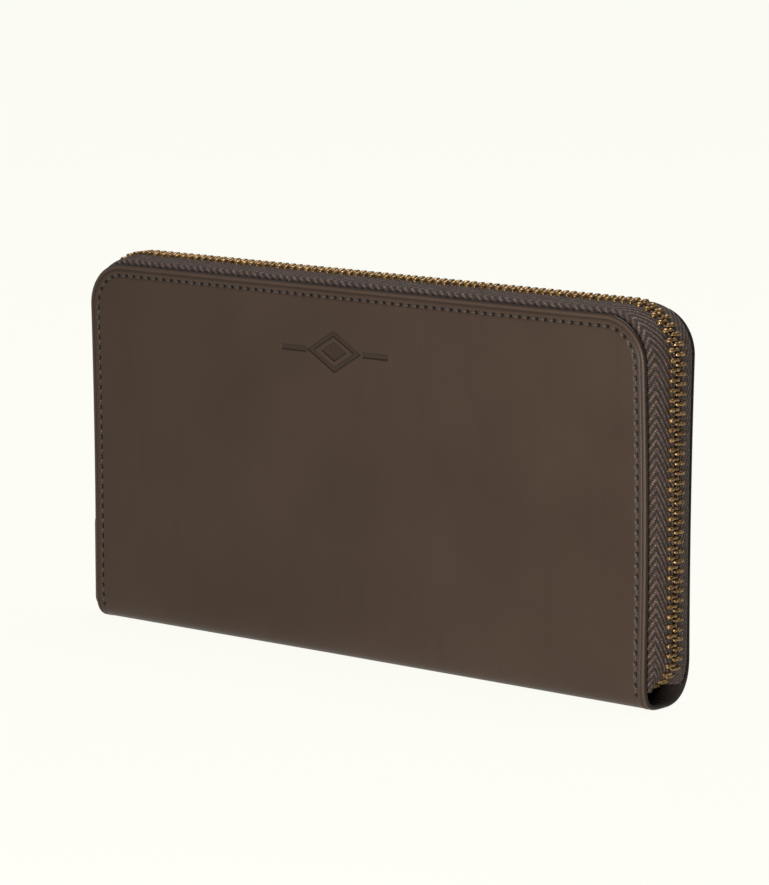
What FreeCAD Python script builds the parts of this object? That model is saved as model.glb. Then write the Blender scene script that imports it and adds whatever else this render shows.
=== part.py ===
import FreeCAD, Part
import os
from types import SimpleNamespace

import Sketcher

# A long zip-around wallet that stands on its spine.  +X runs along the spine, -Y is the front
# and +Z points from the spine to the zip.  The origin is the middle of the spine's flat underside.
# The spine, with the coin pocket sewn to it, carries a front and a back half that fold out from it.

V = FreeCAD.Vector
SIDES = (("front", -1), ("back", 1))
ENDS = (("left", -1), ("right", 1))
CARD_PANELS = 4
ROW_PHASES = (0.25, 0.75)       # where each row's first tooth stands, in pitches
END_PHASES = (0.4, 0.9)         # the same on the turned-in end of the zip
ROLL_SHARES = (0.6, 0.25, 0.45)  # tape's roll: its rise, its outer dip and its inner dip
RADIAN = 57.29577951308232      # degrees
TAPE_END_TURN = 85              # degrees that the tape's ends turn in
LAST_TEETH_TURN = 70            # degrees of that turn with teeth on it
STOP_HEADING = 257              # direction of the chain at the bottom stop, in degrees

DRIVING_DIMENSIONS = (
    ("cover_length", 190.0, "covers, along the spine"),
    ("cover_height", 100.5, "covers, from the underside of the spine to the top edge"),
    ("closed_depth", 23.0, "outside of one cover to outside of the other"),
    ("corner_radius", 12.0, "top corners of the covers"),
    ("leather", 1.3, "outer leather"),
    ("core_layer", 0.7, "layer that holds the board and, round it, the sewn-in tape"),
    ("lining", 0.5, "lining cloth on its backing"),
    ("lining_inset", 1.5, "edge of the cover to edge of the lining"),
    ("spine_strip", 7.0, "flat strip of the spine between the two fold lines"),
    ("spine_land", 0.2, "flat leather between a fold line's gap and the round of the spine"),
    ("fold_gap", 0.3, "gap at each fold line"),
    ("fit_gap", 0.3, "clearance between neighbours that must not touch"),
    ("stitch_inset", 3.0, "edge of the cover to the line of stitches"),
    ("stitch_pitch", 2.8, "from stitch to stitch"),
    ("stitch_length", 2.0, "visible length of one stitch"),
    ("stitch_width", 0.6, "width of the thread"),
    ("stitch_foot", 9.5, "height of the lowest stitch"),
    ("groove_depth", 0.3, "depth of the groove that the stitches lie in"),
    ("groove_ease", 0.1, "groove's clearance on each side of the thread"),
    ("tape_ease", 0.1, "how much thinner the zip tape is than the layer it is sewn into"),
    ("tape_hold", 6.0, "depth of zip tape sewn in behind the edge of the cover"),
    ("tape_roll", 1.6, "width of the bend where the tape leaves the cover"),
    ("zip_stand_off", 1.9, "edge of the cover to the middle of the teeth, outwards"),
    ("tooth_pitch", 2.5, "from tooth to tooth in one row"),
    ("tooth_depth", 2.2, "size of a tooth across the tape's thickness"),
    ("tooth_reach", 0.7, "how far a tooth passes the middle of the closed chain"),
    ("tooth_shoulder", 1.2, "middle of the chain to the legs of a tooth"),
    ("tape_grip", 0.4, "shoulder of a tooth to the tape's beaded edge, between its legs"),
    ("jaw_ease", 0.1, "clearance of teeth and stops round the tape, on each of its faces"),
    ("chain_half", 3.1, "middle of the chain to the outer end of a tooth"),
    ("head_width", 1.0, "tooth head, along the chain"),
    ("leg_width", 1.3, "tooth legs, along the chain"),
    ("zip_foot", 14.0, "height at which the zip turns in over the ends of the spine"),
    ("end_bend", 9.0, "radius of that turn, at the middle of the teeth"),
    ("run_top", 84.0, "top of the straight run that the slider travels"),
    ("slider_foot", 37.5, "height of the closed slider's lower end"),
    ("slider_length", 9.0, "main slider, along the chain"),
    ("slider_half", 4.2, "main slider, half its width"),
    ("slider_plate", 1.0, "thickness of a slider's plates and bridge"),
    ("slot_drop", 0.66, "slot for the tape in a slider's edges, below the middle of the chain"),
    ("slide_gap", 0.15, "running clearance round the chain and the ring"),
    ("ring_wire", 1.3, "wire of the pull ring"),
    ("ring_drop", 6.6, "pull ring, from bar to bar"),
    ("tab_neck", 4.0, "leather tab, width in the ring"),
    ("tab_width", 8.4, "leather tab, full width"),
    ("tab_length", 33.9, "leather tab, from the ring's bar to its end"),
    ("tab_shoulder", 4.0, "leather tab, length over which it widens"),
    ("tab_leather", 1.2, "thickness of each of the tab's two layers"),
    ("pocket_length", 172.0, "card panels and coin pocket, along the spine"),
    ("card_layer", 0.4, "one card panel"),
    ("card_gap", 0.05, "space between neighbouring card panels"),
    ("card_foot", 9.5, "height of the card panels' lower edge"),
    ("card_top", 82.0, "height of the tallest card panel"),
    ("card_step", 12.0, "drop from one card panel's edge to the next one's"),
    ("pocket_wall", 0.7, "coin pocket, each wall"),
    ("pocket_room", 4.6, "coin pocket, between its walls"),
    ("pocket_top", 74.0, "height of the coin pocket's walls"),
    ("coin_stand_off", 4.0, "pocket wall's top to the middle of the coin zip's teeth"),
    ("coin_pitch", 2.0, "coin zip, from tooth to tooth in one row"),
    ("coin_tooth_depth", 1.6, "coin zip, tooth size across the tape's thickness"),
    ("coin_grip", 0.3, "shoulder of a coin zip tooth to its tape's edge"),
    ("coin_tape", 0.4, "coin zip tape, thickness"),
    ("coin_tape_hold", 5.0, "depth of coin zip tape sewn to the pocket's walls"),
    ("coin_slider_length", 7.5, "coin slider, along the chain"),
    ("coin_slider_half", 3.4, "coin slider, half its width"),
    ("coin_end", 8.0, "pocket's end to the coin slider and to the coin zip's last tooth"),
    ("puller_length", 17.0, "coin puller, from its pivot to its end"),
    ("puller_width", 4.6, "coin puller, width"),
    ("gusset", 0.5, "gusset cloth"),
    ("gusset_overhang", 4.0, "card panels' ends to the outer edge of the gusset"),
    ("gusset_fold", 14.0, "depth of the gusset's inward fold"),
    ("gusset_top", 80.0, "height of the gussets"),
)

doc = FreeCAD.newDocument("zip_around_wallet")
sheet = doc.addObject("Spreadsheet::Sheet", "dims")
for row, (alias, number, note) in enumerate(DRIVING_DIMENSIONS, start=1):
    sheet.set(f"A{row}", note)
    sheet.set(f"B{row}", str(number))
    sheet.setAlias(f"B{row}", alias)
doc.recompute()


# ---- sizes that carry their spreadsheet expression ----

def value_of(size):
    return size.value if isinstance(size, Size) else float(size)


def text_of(size):
    return size.text if isinstance(size, Size) else f"{float(size):.6f}"


class Size:
    """A length in mm together with the spreadsheet expression that it comes from."""

    def __init__(self, value, text):
        self.value = value
        self.text = text

    def __add__(self, other):
        return Size(self.value + value_of(other), f"({self.text} + {text_of(other)})")

    def __sub__(self, other):
        return Size(self.value - value_of(other), f"({self.text} - {text_of(other)})")

    def __rsub__(self, other):
        return Size(value_of(other) - self.value, f"({text_of(other)} - {self.text})")

    def __mul__(self, other):
        return Size(self.value * value_of(other), f"({self.text} * {text_of(other)})")

    def __truediv__(self, other):
        return Size(self.value / value_of(other), f"({self.text} / {text_of(other)})")

    def __neg__(self):
        return Size(-self.value, f"(0 - {self.text})")

    __radd__ = __add__
    __rmul__ = __mul__


d = SimpleNamespace(**{alias: Size(float(sheet.get(alias)), f"dims.{alias}")
                       for alias, number, note in DRIVING_DIMENSIONS})

half_length = d.cover_length / 2
half_depth = d.closed_depth / 2
spine_radius = half_depth - d.spine_strip / 2 - d.fold_gap - d.spine_land
under_leather = half_depth - d.leather          # depth at which the board and the tape begin
under_core = under_leather - d.core_layer       # depth at which the lining begins
under_lining = under_core - d.lining            # depth at which the card panels begin
card_pace = d.card_layer + d.card_gap
under_cards = under_lining - CARD_PANELS * card_pace
tape = d.core_layer - d.tape_ease
board_inset = d.tape_hold + d.fit_gap
panel_foot = d.leather + spine_radius           # lower edge of the boards and linings
chain_x = half_length + d.zip_stand_off         # middle of the teeth, beyond the covers' ends
chain_top = d.cover_height + d.zip_stand_off
chain_radius = d.corner_radius + d.zip_stand_off
tape_edge = d.tooth_shoulder + d.tape_grip      # the tape's beaded edge, inside the tooth's legs
pocket_half = d.pocket_length / 2
pocket_outer = d.pocket_room / 2 + d.pocket_wall
coin_z = d.pocket_top + d.coin_stand_off

subparts = []


# ---- ways of making a sub-part ----

def bind(part, prop, size):
    part.setExpression(prop, text_of(size))


def keep(part, label):
    """Name a finished sub-part and put it on the list of what is written out."""
    part.Label = label
    subparts.append(part)
    return part


def block(name, corner, extent):
    """A box from its low corner and its extent, both bound to the sheet."""
    part = doc.addObject("Part::Box", name)
    for prop, size in zip(("Length", "Width", "Height"), extent):
        bind(part, prop, size)
    for axis, size in zip("xyz", corner):
        bind(part, f"Placement.Base.{axis}", size)
    return part


def slab(name, side, ends, depths, heights):
    """A box between two depths from the middle plane, on the front or the back side."""
    low = -depths[1] if side < 0 else depths[0]
    return block(name, (ends[0], low, heights[0]),
                 (ends[1] - ends[0], depths[1] - depths[0], heights[1] - heights[0]))


def rod(name, radius, length, centre):
    """A cylinder along Y, its middle at the given centre."""
    part = doc.addObject("Part::Cylinder", name)
    bind(part, "Radius", radius)
    bind(part, "Height", length)
    part.Placement = FreeCAD.Placement(V(), FreeCAD.Rotation(V(1, 0, 0), -90))
    for axis, size in zip("xyz", (centre[0], centre[1] - length / 2, centre[2])):
        bind(part, f"Placement.Base.{axis}", size)
    return part


def fuse(name, pieces):
    part = doc.addObject("Part::MultiFuse", name)
    part.Shapes = pieces
    part.Refine = True
    return part


def cut(name, base, tool):
    part = doc.addObject("Part::Cut", name)
    part.Base = base
    part.Tool = tool
    part.Refine = True
    return part


def new_body(name):
    body = doc.addObject("PartDesign::Body", name)
    return body


def new_sketch(body, name, role, offset):
    """A sketch on one of the body's own origin planes, moved along the plane's normal."""
    base = next(item for item in body.Origin.OriginFeatures if item.Role == role)
    sketch = body.newObject("Sketcher::SketchObject", name)
    sketch.AttachmentSupport = [(base, "")]
    sketch.MapMode = "FlatFace"
    bind(sketch, ".AttachmentOffset.Base.z", offset)
    return sketch


def hold(sketch, kind, place, size, name):
    """A named dimension, bound to the sheet, from the sketch's origin to a point or on a curve."""
    if kind == "Radius":
        number = sketch.addConstraint(Sketcher.Constraint(kind, place, value_of(size)))
    else:
        number = sketch.addConstraint(Sketcher.Constraint(kind, -1, 1, *place, value_of(size)))
    sketch.renameConstraint(number, name)
    bind(sketch, f"Constraints.{name}", size)


def polygon(sketch, points):
    """A closed outline whose corners are each held at a distance from both axes."""
    corners = [V(value_of(u), value_of(v), 0) for u, v in points]
    count = len(corners)
    for index in range(count):
        sketch.addGeometry(Part.LineSegment(corners[index], corners[(index + 1) % count]))
    for index in range(count):
        sketch.addConstraint(Sketcher.Constraint("Coincident", index, 2, (index + 1) % count, 1))
    for index, (u, v) in enumerate(points):
        hold(sketch, "DistanceX", (index, 1), u, f"across{index}")
        hold(sketch, "DistanceY", (index, 1), v, f"along{index}")


def arch(sketch, half, top, radius, feet):
    """An open line up one side, round two tangent corners and down the other side."""
    reach, height, bend = value_of(half), value_of(top), value_of(radius)
    left, right = value_of(feet[0]), value_of(feet[1])
    slant = bend * (1 - 0.5 ** 0.5)

    def corner(side):
        ends = [V(-reach, height - bend, 0), V(bend - reach, height, 0)]
        middle = V(slant - reach, height - slant, 0)
        if side > 0:
            ends = [V(-ends[1].x, height, 0), V(reach, height - bend, 0)]
            middle = V(-middle.x, middle.y, 0)
        return Part.Arc(ends[0], middle, ends[1])

    sketch.addGeometry(Part.LineSegment(V(-reach, left, 0), V(-reach, height - bend, 0)))
    sketch.addGeometry(corner(-1))
    sketch.addGeometry(Part.LineSegment(V(bend - reach, height, 0), V(reach - bend, height, 0)))
    sketch.addGeometry(corner(1))
    sketch.addGeometry(Part.LineSegment(V(reach, height - bend, 0), V(reach, right, 0)))
    # each arc is stored anticlockwise, so it ends where the line before it ends
    for before, after in ((0, 1), (2, 3)):
        sketch.addConstraint(Sketcher.Constraint("Tangent", before, 2, after, 2))
    for before, after in ((1, 2), (3, 4)):
        sketch.addConstraint(Sketcher.Constraint("Tangent", before, 1, after, 1))
    for line, direction in ((0, "Vertical"), (2, "Horizontal"), (4, "Vertical")):
        sketch.addConstraint(Sketcher.Constraint(direction, line))
    hold(sketch, "Radius", 1, radius, "left_bend")
    hold(sketch, "Radius", 3, radius, "right_bend")
    hold(sketch, "DistanceX", (0, 1), -half, "left_side")
    hold(sketch, "DistanceY", (0, 1), feet[0], "left_foot")
    hold(sketch, "DistanceY", (2, 1), top, "top")
    hold(sketch, "DistanceX", (4, 2), half, "right_side")
    hold(sketch, "DistanceY", (4, 2), feet[1], "right_foot")


def pad(body, name, profile, length):
    feature = body.newObject("PartDesign::Pad", name)
    feature.Profile = profile
    bind(feature, "Length", length)
    body.Tip = feature
    return feature


def sweep(body, name, kind, profile, path):
    feature = body.newObject(kind, name)
    feature.Profile = profile
    feature.Spine = (path, [])
    body.Tip = feature
    return feature


def edges_along(shape, direction, places):
    """Names of the straight edges along a direction that pass through any of the places."""
    found = []
    for number, edge in enumerate(shape.Edges, start=1):
        first, last = edge.Vertexes[0].Point, edge.Vertexes[-1].Point
        run = last - first
        if run.Length < 1e-6 or (run.normalize().cross(direction)).Length > 1e-6:
            continue
        if any((first - place).cross(direction).Length < 1e-4 for place in places):
            found.append(f"Edge{number}")
    return found


def fillet(body, name, radius, direction, places):
    doc.recompute()
    before = body.Tip
    feature = body.newObject("PartDesign::Fillet", name)
    feature.Base = (before, edges_along(before.Shape, direction, places))
    bind(feature, "Radius", radius)
    body.Tip = feature
    return feature


def rounded_panel(name, side, depths, inset, foot):
    """A flat panel inside the cover's outline, with its top corners rounded to follow it."""
    body = new_body(name)
    offset = depths[0] if side < 0 else -depths[1]
    sketch = new_sketch(body, f"{name}_outline", "XZ_Plane", offset)
    reach, top = half_length - inset, d.cover_height - inset
    polygon(sketch, ((-reach, foot), (reach, foot), (reach, top), (-reach, top)))
    pad(body, f"{name}_pad", sketch, depths[1] - depths[0])
    places = [V(end * reach.value, 0, top.value) for label, end in ENDS]
    fillet(body, f"{name}_corners", d.corner_radius - inset, V(0, 1, 0), places)
    return keep(body, name)


def along_arch(half, top, radius, feet, pitch, phase):
    """Points at even steps along an arch, each with its heading in degrees from +Z."""
    reach, height, bend = value_of(half), value_of(top), value_of(radius)
    rise = height - bend - value_of(feet[0])
    turn = bend * 1.5707963267948966
    run = 2 * (reach - bend)
    drop = height - bend - value_of(feet[1])
    step = value_of(pitch)
    travel = step * phase
    while travel < rise + run + drop + 2 * turn:
        if travel < rise:
            yield V(-reach, 0, value_of(feet[0]) + travel), 0.0
        elif travel < rise + turn:
            heading = 90 * (travel - rise) / turn
            yield arch_point(V(bend - reach, 0, height - bend), bend, heading), heading
        elif travel < rise + turn + run:
            yield V(bend - reach + travel - rise - turn, 0, height), 90.0
        elif travel < rise + run + 2 * turn:
            heading = 90 + 90 * (travel - rise - turn - run) / turn
            yield arch_point(V(reach - bend, 0, height - bend), bend, heading), heading
        else:
            yield V(reach, 0, height - bend - (travel - rise - run - 2 * turn)), 180.0
        travel += step


def arch_point(centre, radius, heading):
    """The point of an arc where its heading, in degrees from +Z towards +X, is as given."""
    return centre + FreeCAD.Rotation(V(0, 1, 0), heading).multVec(V(-value_of(radius), 0, 0))


def facing(point, heading, turn=0):
    """The place of a piece whose own X runs along the heading and whose own Z points outwards."""
    spin = FreeCAD.Rotation(V(0, 1, 0), heading - 90)
    return FreeCAD.Placement(point, spin.multiply(FreeCAD.Rotation(V(0, 0, 1), turn)))


def group(name, shape, places):
    """Separate copies of one small solid, in one node."""
    copies = [shape.transformed(place.toMatrix()) for place in places]
    part = doc.addObject("Part::Feature", name)
    part.Shape = Part.Compound(copies)
    return keep(part, name)


# ---- covers ----

def cover_leather(name, side):
    """Panel and half of the round spine, with a groove for the stitches."""
    body = new_body(name)
    sketch = new_sketch(body, f"{name}_section", "YZ_Plane", -half_length)
    outer, inner = side * half_depth, side * under_leather
    fold = side * (d.spine_strip / 2 + d.fold_gap)
    polygon(sketch, ((fold, 0), (outer, 0), (outer, d.cover_height), (inner, d.cover_height),
                     (inner, d.leather), (fold, d.leather)))
    pad(body, f"{name}_pad", sketch, d.cover_length)
    fillet(body, f"{name}_spine", spine_radius, V(1, 0, 0), [V(0, outer.value, 0)])
    fillet(body, f"{name}_spine_inside", spine_radius - d.leather, V(1, 0, 0),
           [V(0, inner.value, d.leather.value)])
    places = [V(end * half_length.value, 0, d.cover_height.value) for label, end in ENDS]
    fillet(body, f"{name}_corners", d.corner_radius, V(0, 1, 0), places)
    path = new_sketch(body, f"{name}_stitch_line", "XZ_Plane", -outer)
    arch(path, *stitch_line, stitch_feet)
    groove = new_sketch(body, f"{name}_groove_section", "XY_Plane", d.stitch_foot)
    groove_half = d.stitch_width / 2 + d.groove_ease
    low, high = -stitch_line[0] - groove_half, -stitch_line[0] + groove_half
    floor, proud = side * (half_depth - d.groove_depth), side * (half_depth + d.groove_depth)
    polygon(groove, ((low, floor), (high, floor), (high, proud), (low, proud)))
    sweep(body, f"{name}_groove", "PartDesign::SubtractivePipe", groove, path)
    return keep(body, name)


def stitching(name, side):
    """Short lengths of thread that lie in the groove."""
    long, wide, deep = d.stitch_length.value, d.stitch_width.value, 1.5 * d.groove_depth.value
    stitch = Part.makeBox(long, wide, deep, V(-long / 2, -wide / 2, 0))
    stitch = stitch.makeFillet(wide / 4, [edge for edge in stitch.Edges
                                          if edge.BoundBox.ZMin > deep - 1e-6])
    lay = FreeCAD.Rotation(V(1, 0, 0), -90 * side)
    depth = side * (half_depth.value - d.groove_depth.value)
    places = []
    feet = (d.stitch_foot, d.stitch_foot + d.stitch_length / 2)
    for point, heading in along_arch(*stitch_line, feet, d.stitch_pitch, 0.5):
        point.y = depth
        spin = FreeCAD.Rotation(V(0, 1, 0), heading - 90)
        places.append(FreeCAD.Placement(point, spin.multiply(lay)))
    return group(name, stitch, places)


stitch_line = (half_length - d.stitch_inset, d.cover_height - d.stitch_inset,
               d.corner_radius - d.stitch_inset)
stitch_feet = (d.stitch_foot, d.stitch_foot)

for word, side in SIDES:
    cover_leather(f"{word}_cover_leather", side)
    rounded_panel(f"{word}_board", side, (under_core, under_leather), board_inset, panel_foot)
    rounded_panel(f"{word}_lining", side, (under_lining, under_core), d.lining_inset, panel_foot)
    stitching(f"{word}_stitching", side)

strip_half = d.spine_strip / 2
keep(block("spine_leather", (-half_length, -strip_half, 0),
           (d.cover_length, d.spine_strip, d.leather)), "spine_leather")
keep(block("spine_lining", (-pocket_half, -strip_half, d.leather),
           (d.pocket_length, d.spine_strip, d.lining)), "spine_lining")


# ---- main zip: tapes ----

def tape_section(side, edge_x):
    """The tape's section at the left end: sewn-in part, roll over the edge, rise to the teeth."""
    high, low = d.zip_stand_off + tape / 2, d.zip_stand_off - tape / 2
    rise, dip, dip_inside = (share * d.tape_roll for share in ROLL_SHARES)
    profile = ((under_leather, -d.tape_hold), (under_leather, -dip),
               (under_leather - d.tape_roll, rise), (d.chain_half + d.fit_gap, high),
               (tape_edge, high), (tape_edge, low), (d.chain_half + d.fit_gap, low),
               (under_leather - d.tape_roll - tape / 2, rise - tape),
               (under_leather - tape, -dip_inside), (under_leather - tape, -d.tape_hold))
    return [(edge_x - out, side * depth) for depth, out in profile]


def tape_run(name, side):
    """The straight stretch of tape that the slider travels."""
    body = new_body(name)
    sketch = new_sketch(body, f"{name}_section", "XY_Plane", d.zip_foot)
    polygon(sketch, tape_section(side, -half_length))
    pad(body, f"{name}_pad", sketch, d.run_top - d.zip_foot)
    return keep(body, name)


def tape_arch(name, side):
    """The rest of the tape: round the left corner, over the top and down the right end."""
    body = new_body(name)
    foot = d.run_top + d.fit_gap
    path = new_sketch(body, f"{name}_path", "XZ_Plane", 0)
    arch(path, chain_x, chain_top, chain_radius, (foot, d.zip_foot))
    sketch = new_sketch(body, f"{name}_section", "XY_Plane", foot)
    polygon(sketch, tape_section(side, -half_length))
    sweep(body, f"{name}_sweep", "PartDesign::AdditivePipe", sketch, path)
    return keep(body, name)


def tape_end(name, side, end):
    """The flat end of a tape, which turns in over the end of the spine."""
    sketch = doc.addObject("Sketcher::SketchObject", f"{name}_section")
    near, far = end * (chain_x - tape / 2), end * (chain_x + tape / 2)
    inner, outer = side * tape_edge, side * (tape_edge + d.chain_half)
    polygon(sketch, ((near, inner), (far, inner), (far, outer), (near, outer)))
    turn = doc.addObject("Part::Revolution", name)
    turn.Source = sketch
    turn.Axis = V(0, end, 0)
    turn.Angle = TAPE_END_TURN
    turn.Solid = True
    bind(turn, "Base.x", end * (chain_x - d.end_bend))
    bind(turn, "Placement.Base.z", d.zip_foot - d.fit_gap)
    return keep(turn, name)


for word, side in SIDES:
    tape_run(f"{word}_zip_tape_slider_run", side)
    tape_arch(f"{word}_zip_tape", side)
    for label, end in ENDS:
        tape_end(f"{word}_zip_tape_{label}_end", side, end)


# ---- main zip: teeth and stops ----

def tooth(reach, shoulder, chain_half, depth, widths, slot, slot_edge):
    """One tooth, its legs at -Y and its head reaching past the middle: own X along the chain."""
    head, leg = widths
    legs = Part.makeBox(leg, chain_half - shoulder, depth, V(-leg / 2, -chain_half, -depth / 2))
    nose = Part.makeBox(head, reach + shoulder, depth, V(-head / 2, -shoulder, -depth / 2))
    nose = nose.makeChamfer(head / 5, [edge for edge in nose.Edges
                                       if edge.BoundBox.YMin > reach - 1e-6])
    gap = Part.makeBox(2 * leg, chain_half, slot,
                       V(-leg, -chain_half - slot_edge, -slot / 2))
    return legs.fuse(nose).cut(gap).removeSplitter()


main_tooth = tooth(d.tooth_reach.value, d.tooth_shoulder.value, d.chain_half.value,
                   d.tooth_depth.value, (d.head_width.value, d.leg_width.value),
                   (tape + 2 * d.jaw_ease).value, (tape_edge - d.jaw_ease).value)
slider_mid = d.slider_foot + d.slider_length / 2
run_teeth = round((d.run_top.value - slider_mid.value) / d.tooth_pitch.value)
arch_foot = slider_mid + run_teeth * d.tooth_pitch
arch_half = (chain_x, chain_top, chain_radius)

for (word, side), phase, turn in zip(SIDES, ROW_PHASES, (0, 180)):
    low = [facing(V(-chain_x.value, 0, slider_mid.value + (count + phase) * d.tooth_pitch.value),
                  0, turn) for count in range(run_teeth)]
    group(f"{word}_zip_teeth_slider_run", main_tooth, low)
    rest = [facing(point, heading, turn) for point, heading
            in along_arch(*arch_half, (arch_foot, d.zip_foot + d.leg_width), d.tooth_pitch, phase)]
    group(f"{word}_zip_teeth", main_tooth, rest)

bend_centre = V((chain_x - d.end_bend).value, 0, (d.zip_foot - d.fit_gap).value)
pitch_angle = RADIAN * d.tooth_pitch.value / d.end_bend.value
last_places = []
for count in range(int(LAST_TEETH_TURN / pitch_angle)):
    for phase, turn in zip(END_PHASES, (0, 180)):
        heading = 180 + (count + phase) * pitch_angle
        point = arch_point(bend_centre, d.end_bend, heading)
        last_places.append(facing(point, heading, turn))
group("zip_last_teeth", main_tooth, last_places)


def stop(name, side, length, foot):
    """A metal clip on the beaded edge of one tape, which ends the slider's travel."""
    leg = d.chain_half - d.tooth_shoulder
    clip = slab(f"{name}_clip", side, (-chain_x - d.tooth_depth / 2, -chain_x + d.tooth_depth / 2),
                (d.tooth_shoulder, d.tooth_shoulder + leg), (foot, foot + length))
    jaw = tape / 2 + d.jaw_ease
    slot = slab(f"{name}_slot", side, (-chain_x - jaw, -chain_x + jaw),
                (tape_edge - d.jaw_ease, d.chain_half + 1.0), (foot - 1.0, foot + length + 1.0))
    return keep(cut(name, clip, slot), name)


stop_length = 1.2 * d.tooth_pitch
for word, side in SIDES:
    stop(f"{word}_top_stop", side, stop_length, d.slider_foot - d.slide_gap - stop_length)

bridge = block("bottom_stop_bar", (-d.leg_width, -d.chain_half, -d.tooth_depth / 2),
               (2 * d.leg_width, 2 * d.chain_half, d.tooth_depth))
hollow = block("bottom_stop_slot", (-2 * d.leg_width, -d.chain_half - 1.0, -tape / 2 - d.jaw_ease),
               (4 * d.leg_width, 2 * d.chain_half + 2.0, tape + 2 * d.jaw_ease))
core = block("bottom_stop_core", (-d.leg_width, -tape_edge + d.jaw_ease, -d.tooth_depth / 2),
             (2 * d.leg_width, 2 * tape_edge - 2 * d.jaw_ease, d.tooth_depth))
bottom_stop = keep(fuse("bottom_stop", [cut("bottom_stop_jaws", bridge, hollow), core]),
                   "bottom_stop")
bottom_stop.Placement = facing(arch_point(bend_centre, d.end_bend, STOP_HEADING), STOP_HEADING)


# ---- sliders: own X points back over the closed chain, own Z outwards ----

def slider_body(name, length, half, depth, edge_gap, place):
    """Two plates with turned-in edges, held together by a wedge at the open end."""
    inner = depth / 2 + d.slide_gap
    outer = inner + d.slider_plate
    lip = d.slider_plate * 0.8
    shell = block(f"{name}_shell", (0, -half, -outer), (length, 2 * half, 2 * outer))
    room = block(f"{name}_room", (-1.0, -half + lip, -inner),
                 (length + 2.0, 2 * half - 2 * lip, 2 * inner))
    slots = block(f"{name}_slots", (-1.0, -half - 1.0, -edge_gap),
                  (length + 2.0, 2 * half + 2.0, edge_gap + d.slot_drop))
    wedge = block(f"{name}_wedge", (0, -d.tooth_shoulder * 0.7, -outer),
                  (length * 0.35, d.tooth_shoulder * 1.4, 2 * outer))
    hollow = fuse(f"{name}_hollow", [room, slots])
    part = keep(fuse(name, [cut(f"{name}_plates", shell, hollow), wedge]), name)
    part.Placement = place
    return outer


def slider_crown(name, length, base, window, place):
    """The bridge over a slider's outer plate, with a window across it for the ring."""
    width = 3.0 * d.slider_plate
    top = base + window + d.slider_plate
    arch_block = block(f"{name}_bridge", (length * 0.15, -width / 2, base),
                       (length * 0.7, width, top - base))
    hole = block(f"{name}_window", (length * 0.15 + d.slider_plate, -width, base - 1.0),
                 (length * 0.7 - 2 * d.slider_plate, 2 * width, window + 1.0))
    part = keep(cut(name, arch_block, hole), name)
    part.Placement = place


main_place = facing(V(-chain_x.value, 0, d.slider_foot.value), 0)
main_top = slider_body("zip_slider_body", d.slider_length, d.slider_half, d.tooth_depth,
                       d.tooth_depth * 0.55, main_place)
main_window = d.ring_wire + 2 * d.slide_gap
slider_crown("zip_slider_crown", d.slider_length, main_top, main_window, main_place)

ring_level = main_top + d.slide_gap + d.ring_wire / 2
ring_bar = d.slider_length / 2                   # place of the ring's upper bar, along the slider
tab_bar = ring_bar - d.ring_drop
ring_bend = d.ring_wire                          # radius of the ring's corners
ring_half = d.tab_neck / 2 + ring_bend

bars = [rod(f"pull_ring_bar_{place}", d.ring_wire / 2, d.tab_neck, (along, 0, ring_level))
        for place, along in (("upper", ring_bar), ("lower", tab_bar))]
for word, side in SIDES:
    arm = doc.addObject("Part::Cylinder", f"pull_ring_arm_{word}")
    bind(arm, "Radius", d.ring_wire / 2)
    bind(arm, "Height", d.ring_drop - 2 * ring_bend)
    arm.Placement = FreeCAD.Placement(V(), FreeCAD.Rotation(V(0, 1, 0), 90))
    bind(arm, "Placement.Base.x", tab_bar + ring_bend)
    bind(arm, "Placement.Base.y", side * ring_half)
    bind(arm, "Placement.Base.z", ring_level)
    bars.append(arm)
corners = ((ring_bar - ring_bend, 1, 0), (tab_bar + ring_bend, 1, 90),
           (tab_bar + ring_bend, -1, 180), (ring_bar - ring_bend, -1, 270))
for along, side, turn in corners:
    bend = doc.addObject("Part::Torus", f"pull_ring_corner_{turn}")
    bind(bend, "Radius1", ring_bend)
    bind(bend, "Radius2", d.ring_wire / 2)
    bend.Angle3 = 90
    bend.Placement = FreeCAD.Placement(V(), FreeCAD.Rotation(V(0, 0, 1), turn))
    bind(bend, "Placement.Base.x", along)
    bind(bend, "Placement.Base.y", side * (d.tab_neck / 2))
    bind(bend, "Placement.Base.z", ring_level)
    bars.append(bend)
pull_ring = keep(fuse("pull_ring", bars), "pull_ring")
pull_ring.Placement = main_place

barrel_bore = d.ring_wire / 2 + d.slide_gap / 2
tab = new_body("pull_tab")
tab_sketch = new_sketch(tab, "pull_tab_outline", "XY_Plane", ring_level - d.tab_leather)
neck, wide = d.tab_neck / 2, d.tab_width / 2
shoulder_at = tab_bar - d.tab_leather - d.ring_wire
tab_end = tab_bar - d.tab_length
polygon(tab_sketch, ((tab_bar, -neck), (shoulder_at, -neck), (shoulder_at - d.tab_shoulder, -wide),
                     (tab_end, -wide), (tab_end, wide), (shoulder_at - d.tab_shoulder, wide),
                     (shoulder_at, neck), (tab_bar, neck)))
pad(tab, "pull_tab_leaf", tab_sketch, 2 * d.tab_leather)


def round_profile(body, name, plane_offset, centre, radius):
    """A circle on the body's XZ plane, held by its centre and its radius."""
    sketch = new_sketch(body, name, "XZ_Plane", plane_offset)
    middle = V(value_of(centre[0]), value_of(centre[1]), 0)
    sketch.addGeometry(Part.Circle(middle, V(0, 0, 1), value_of(radius)))
    hold(sketch, "DistanceX", (0, 3), centre[0], "across")
    hold(sketch, "DistanceY", (0, 3), centre[1], "along")
    hold(sketch, "Radius", 0, radius, "radius")
    return sketch


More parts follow.
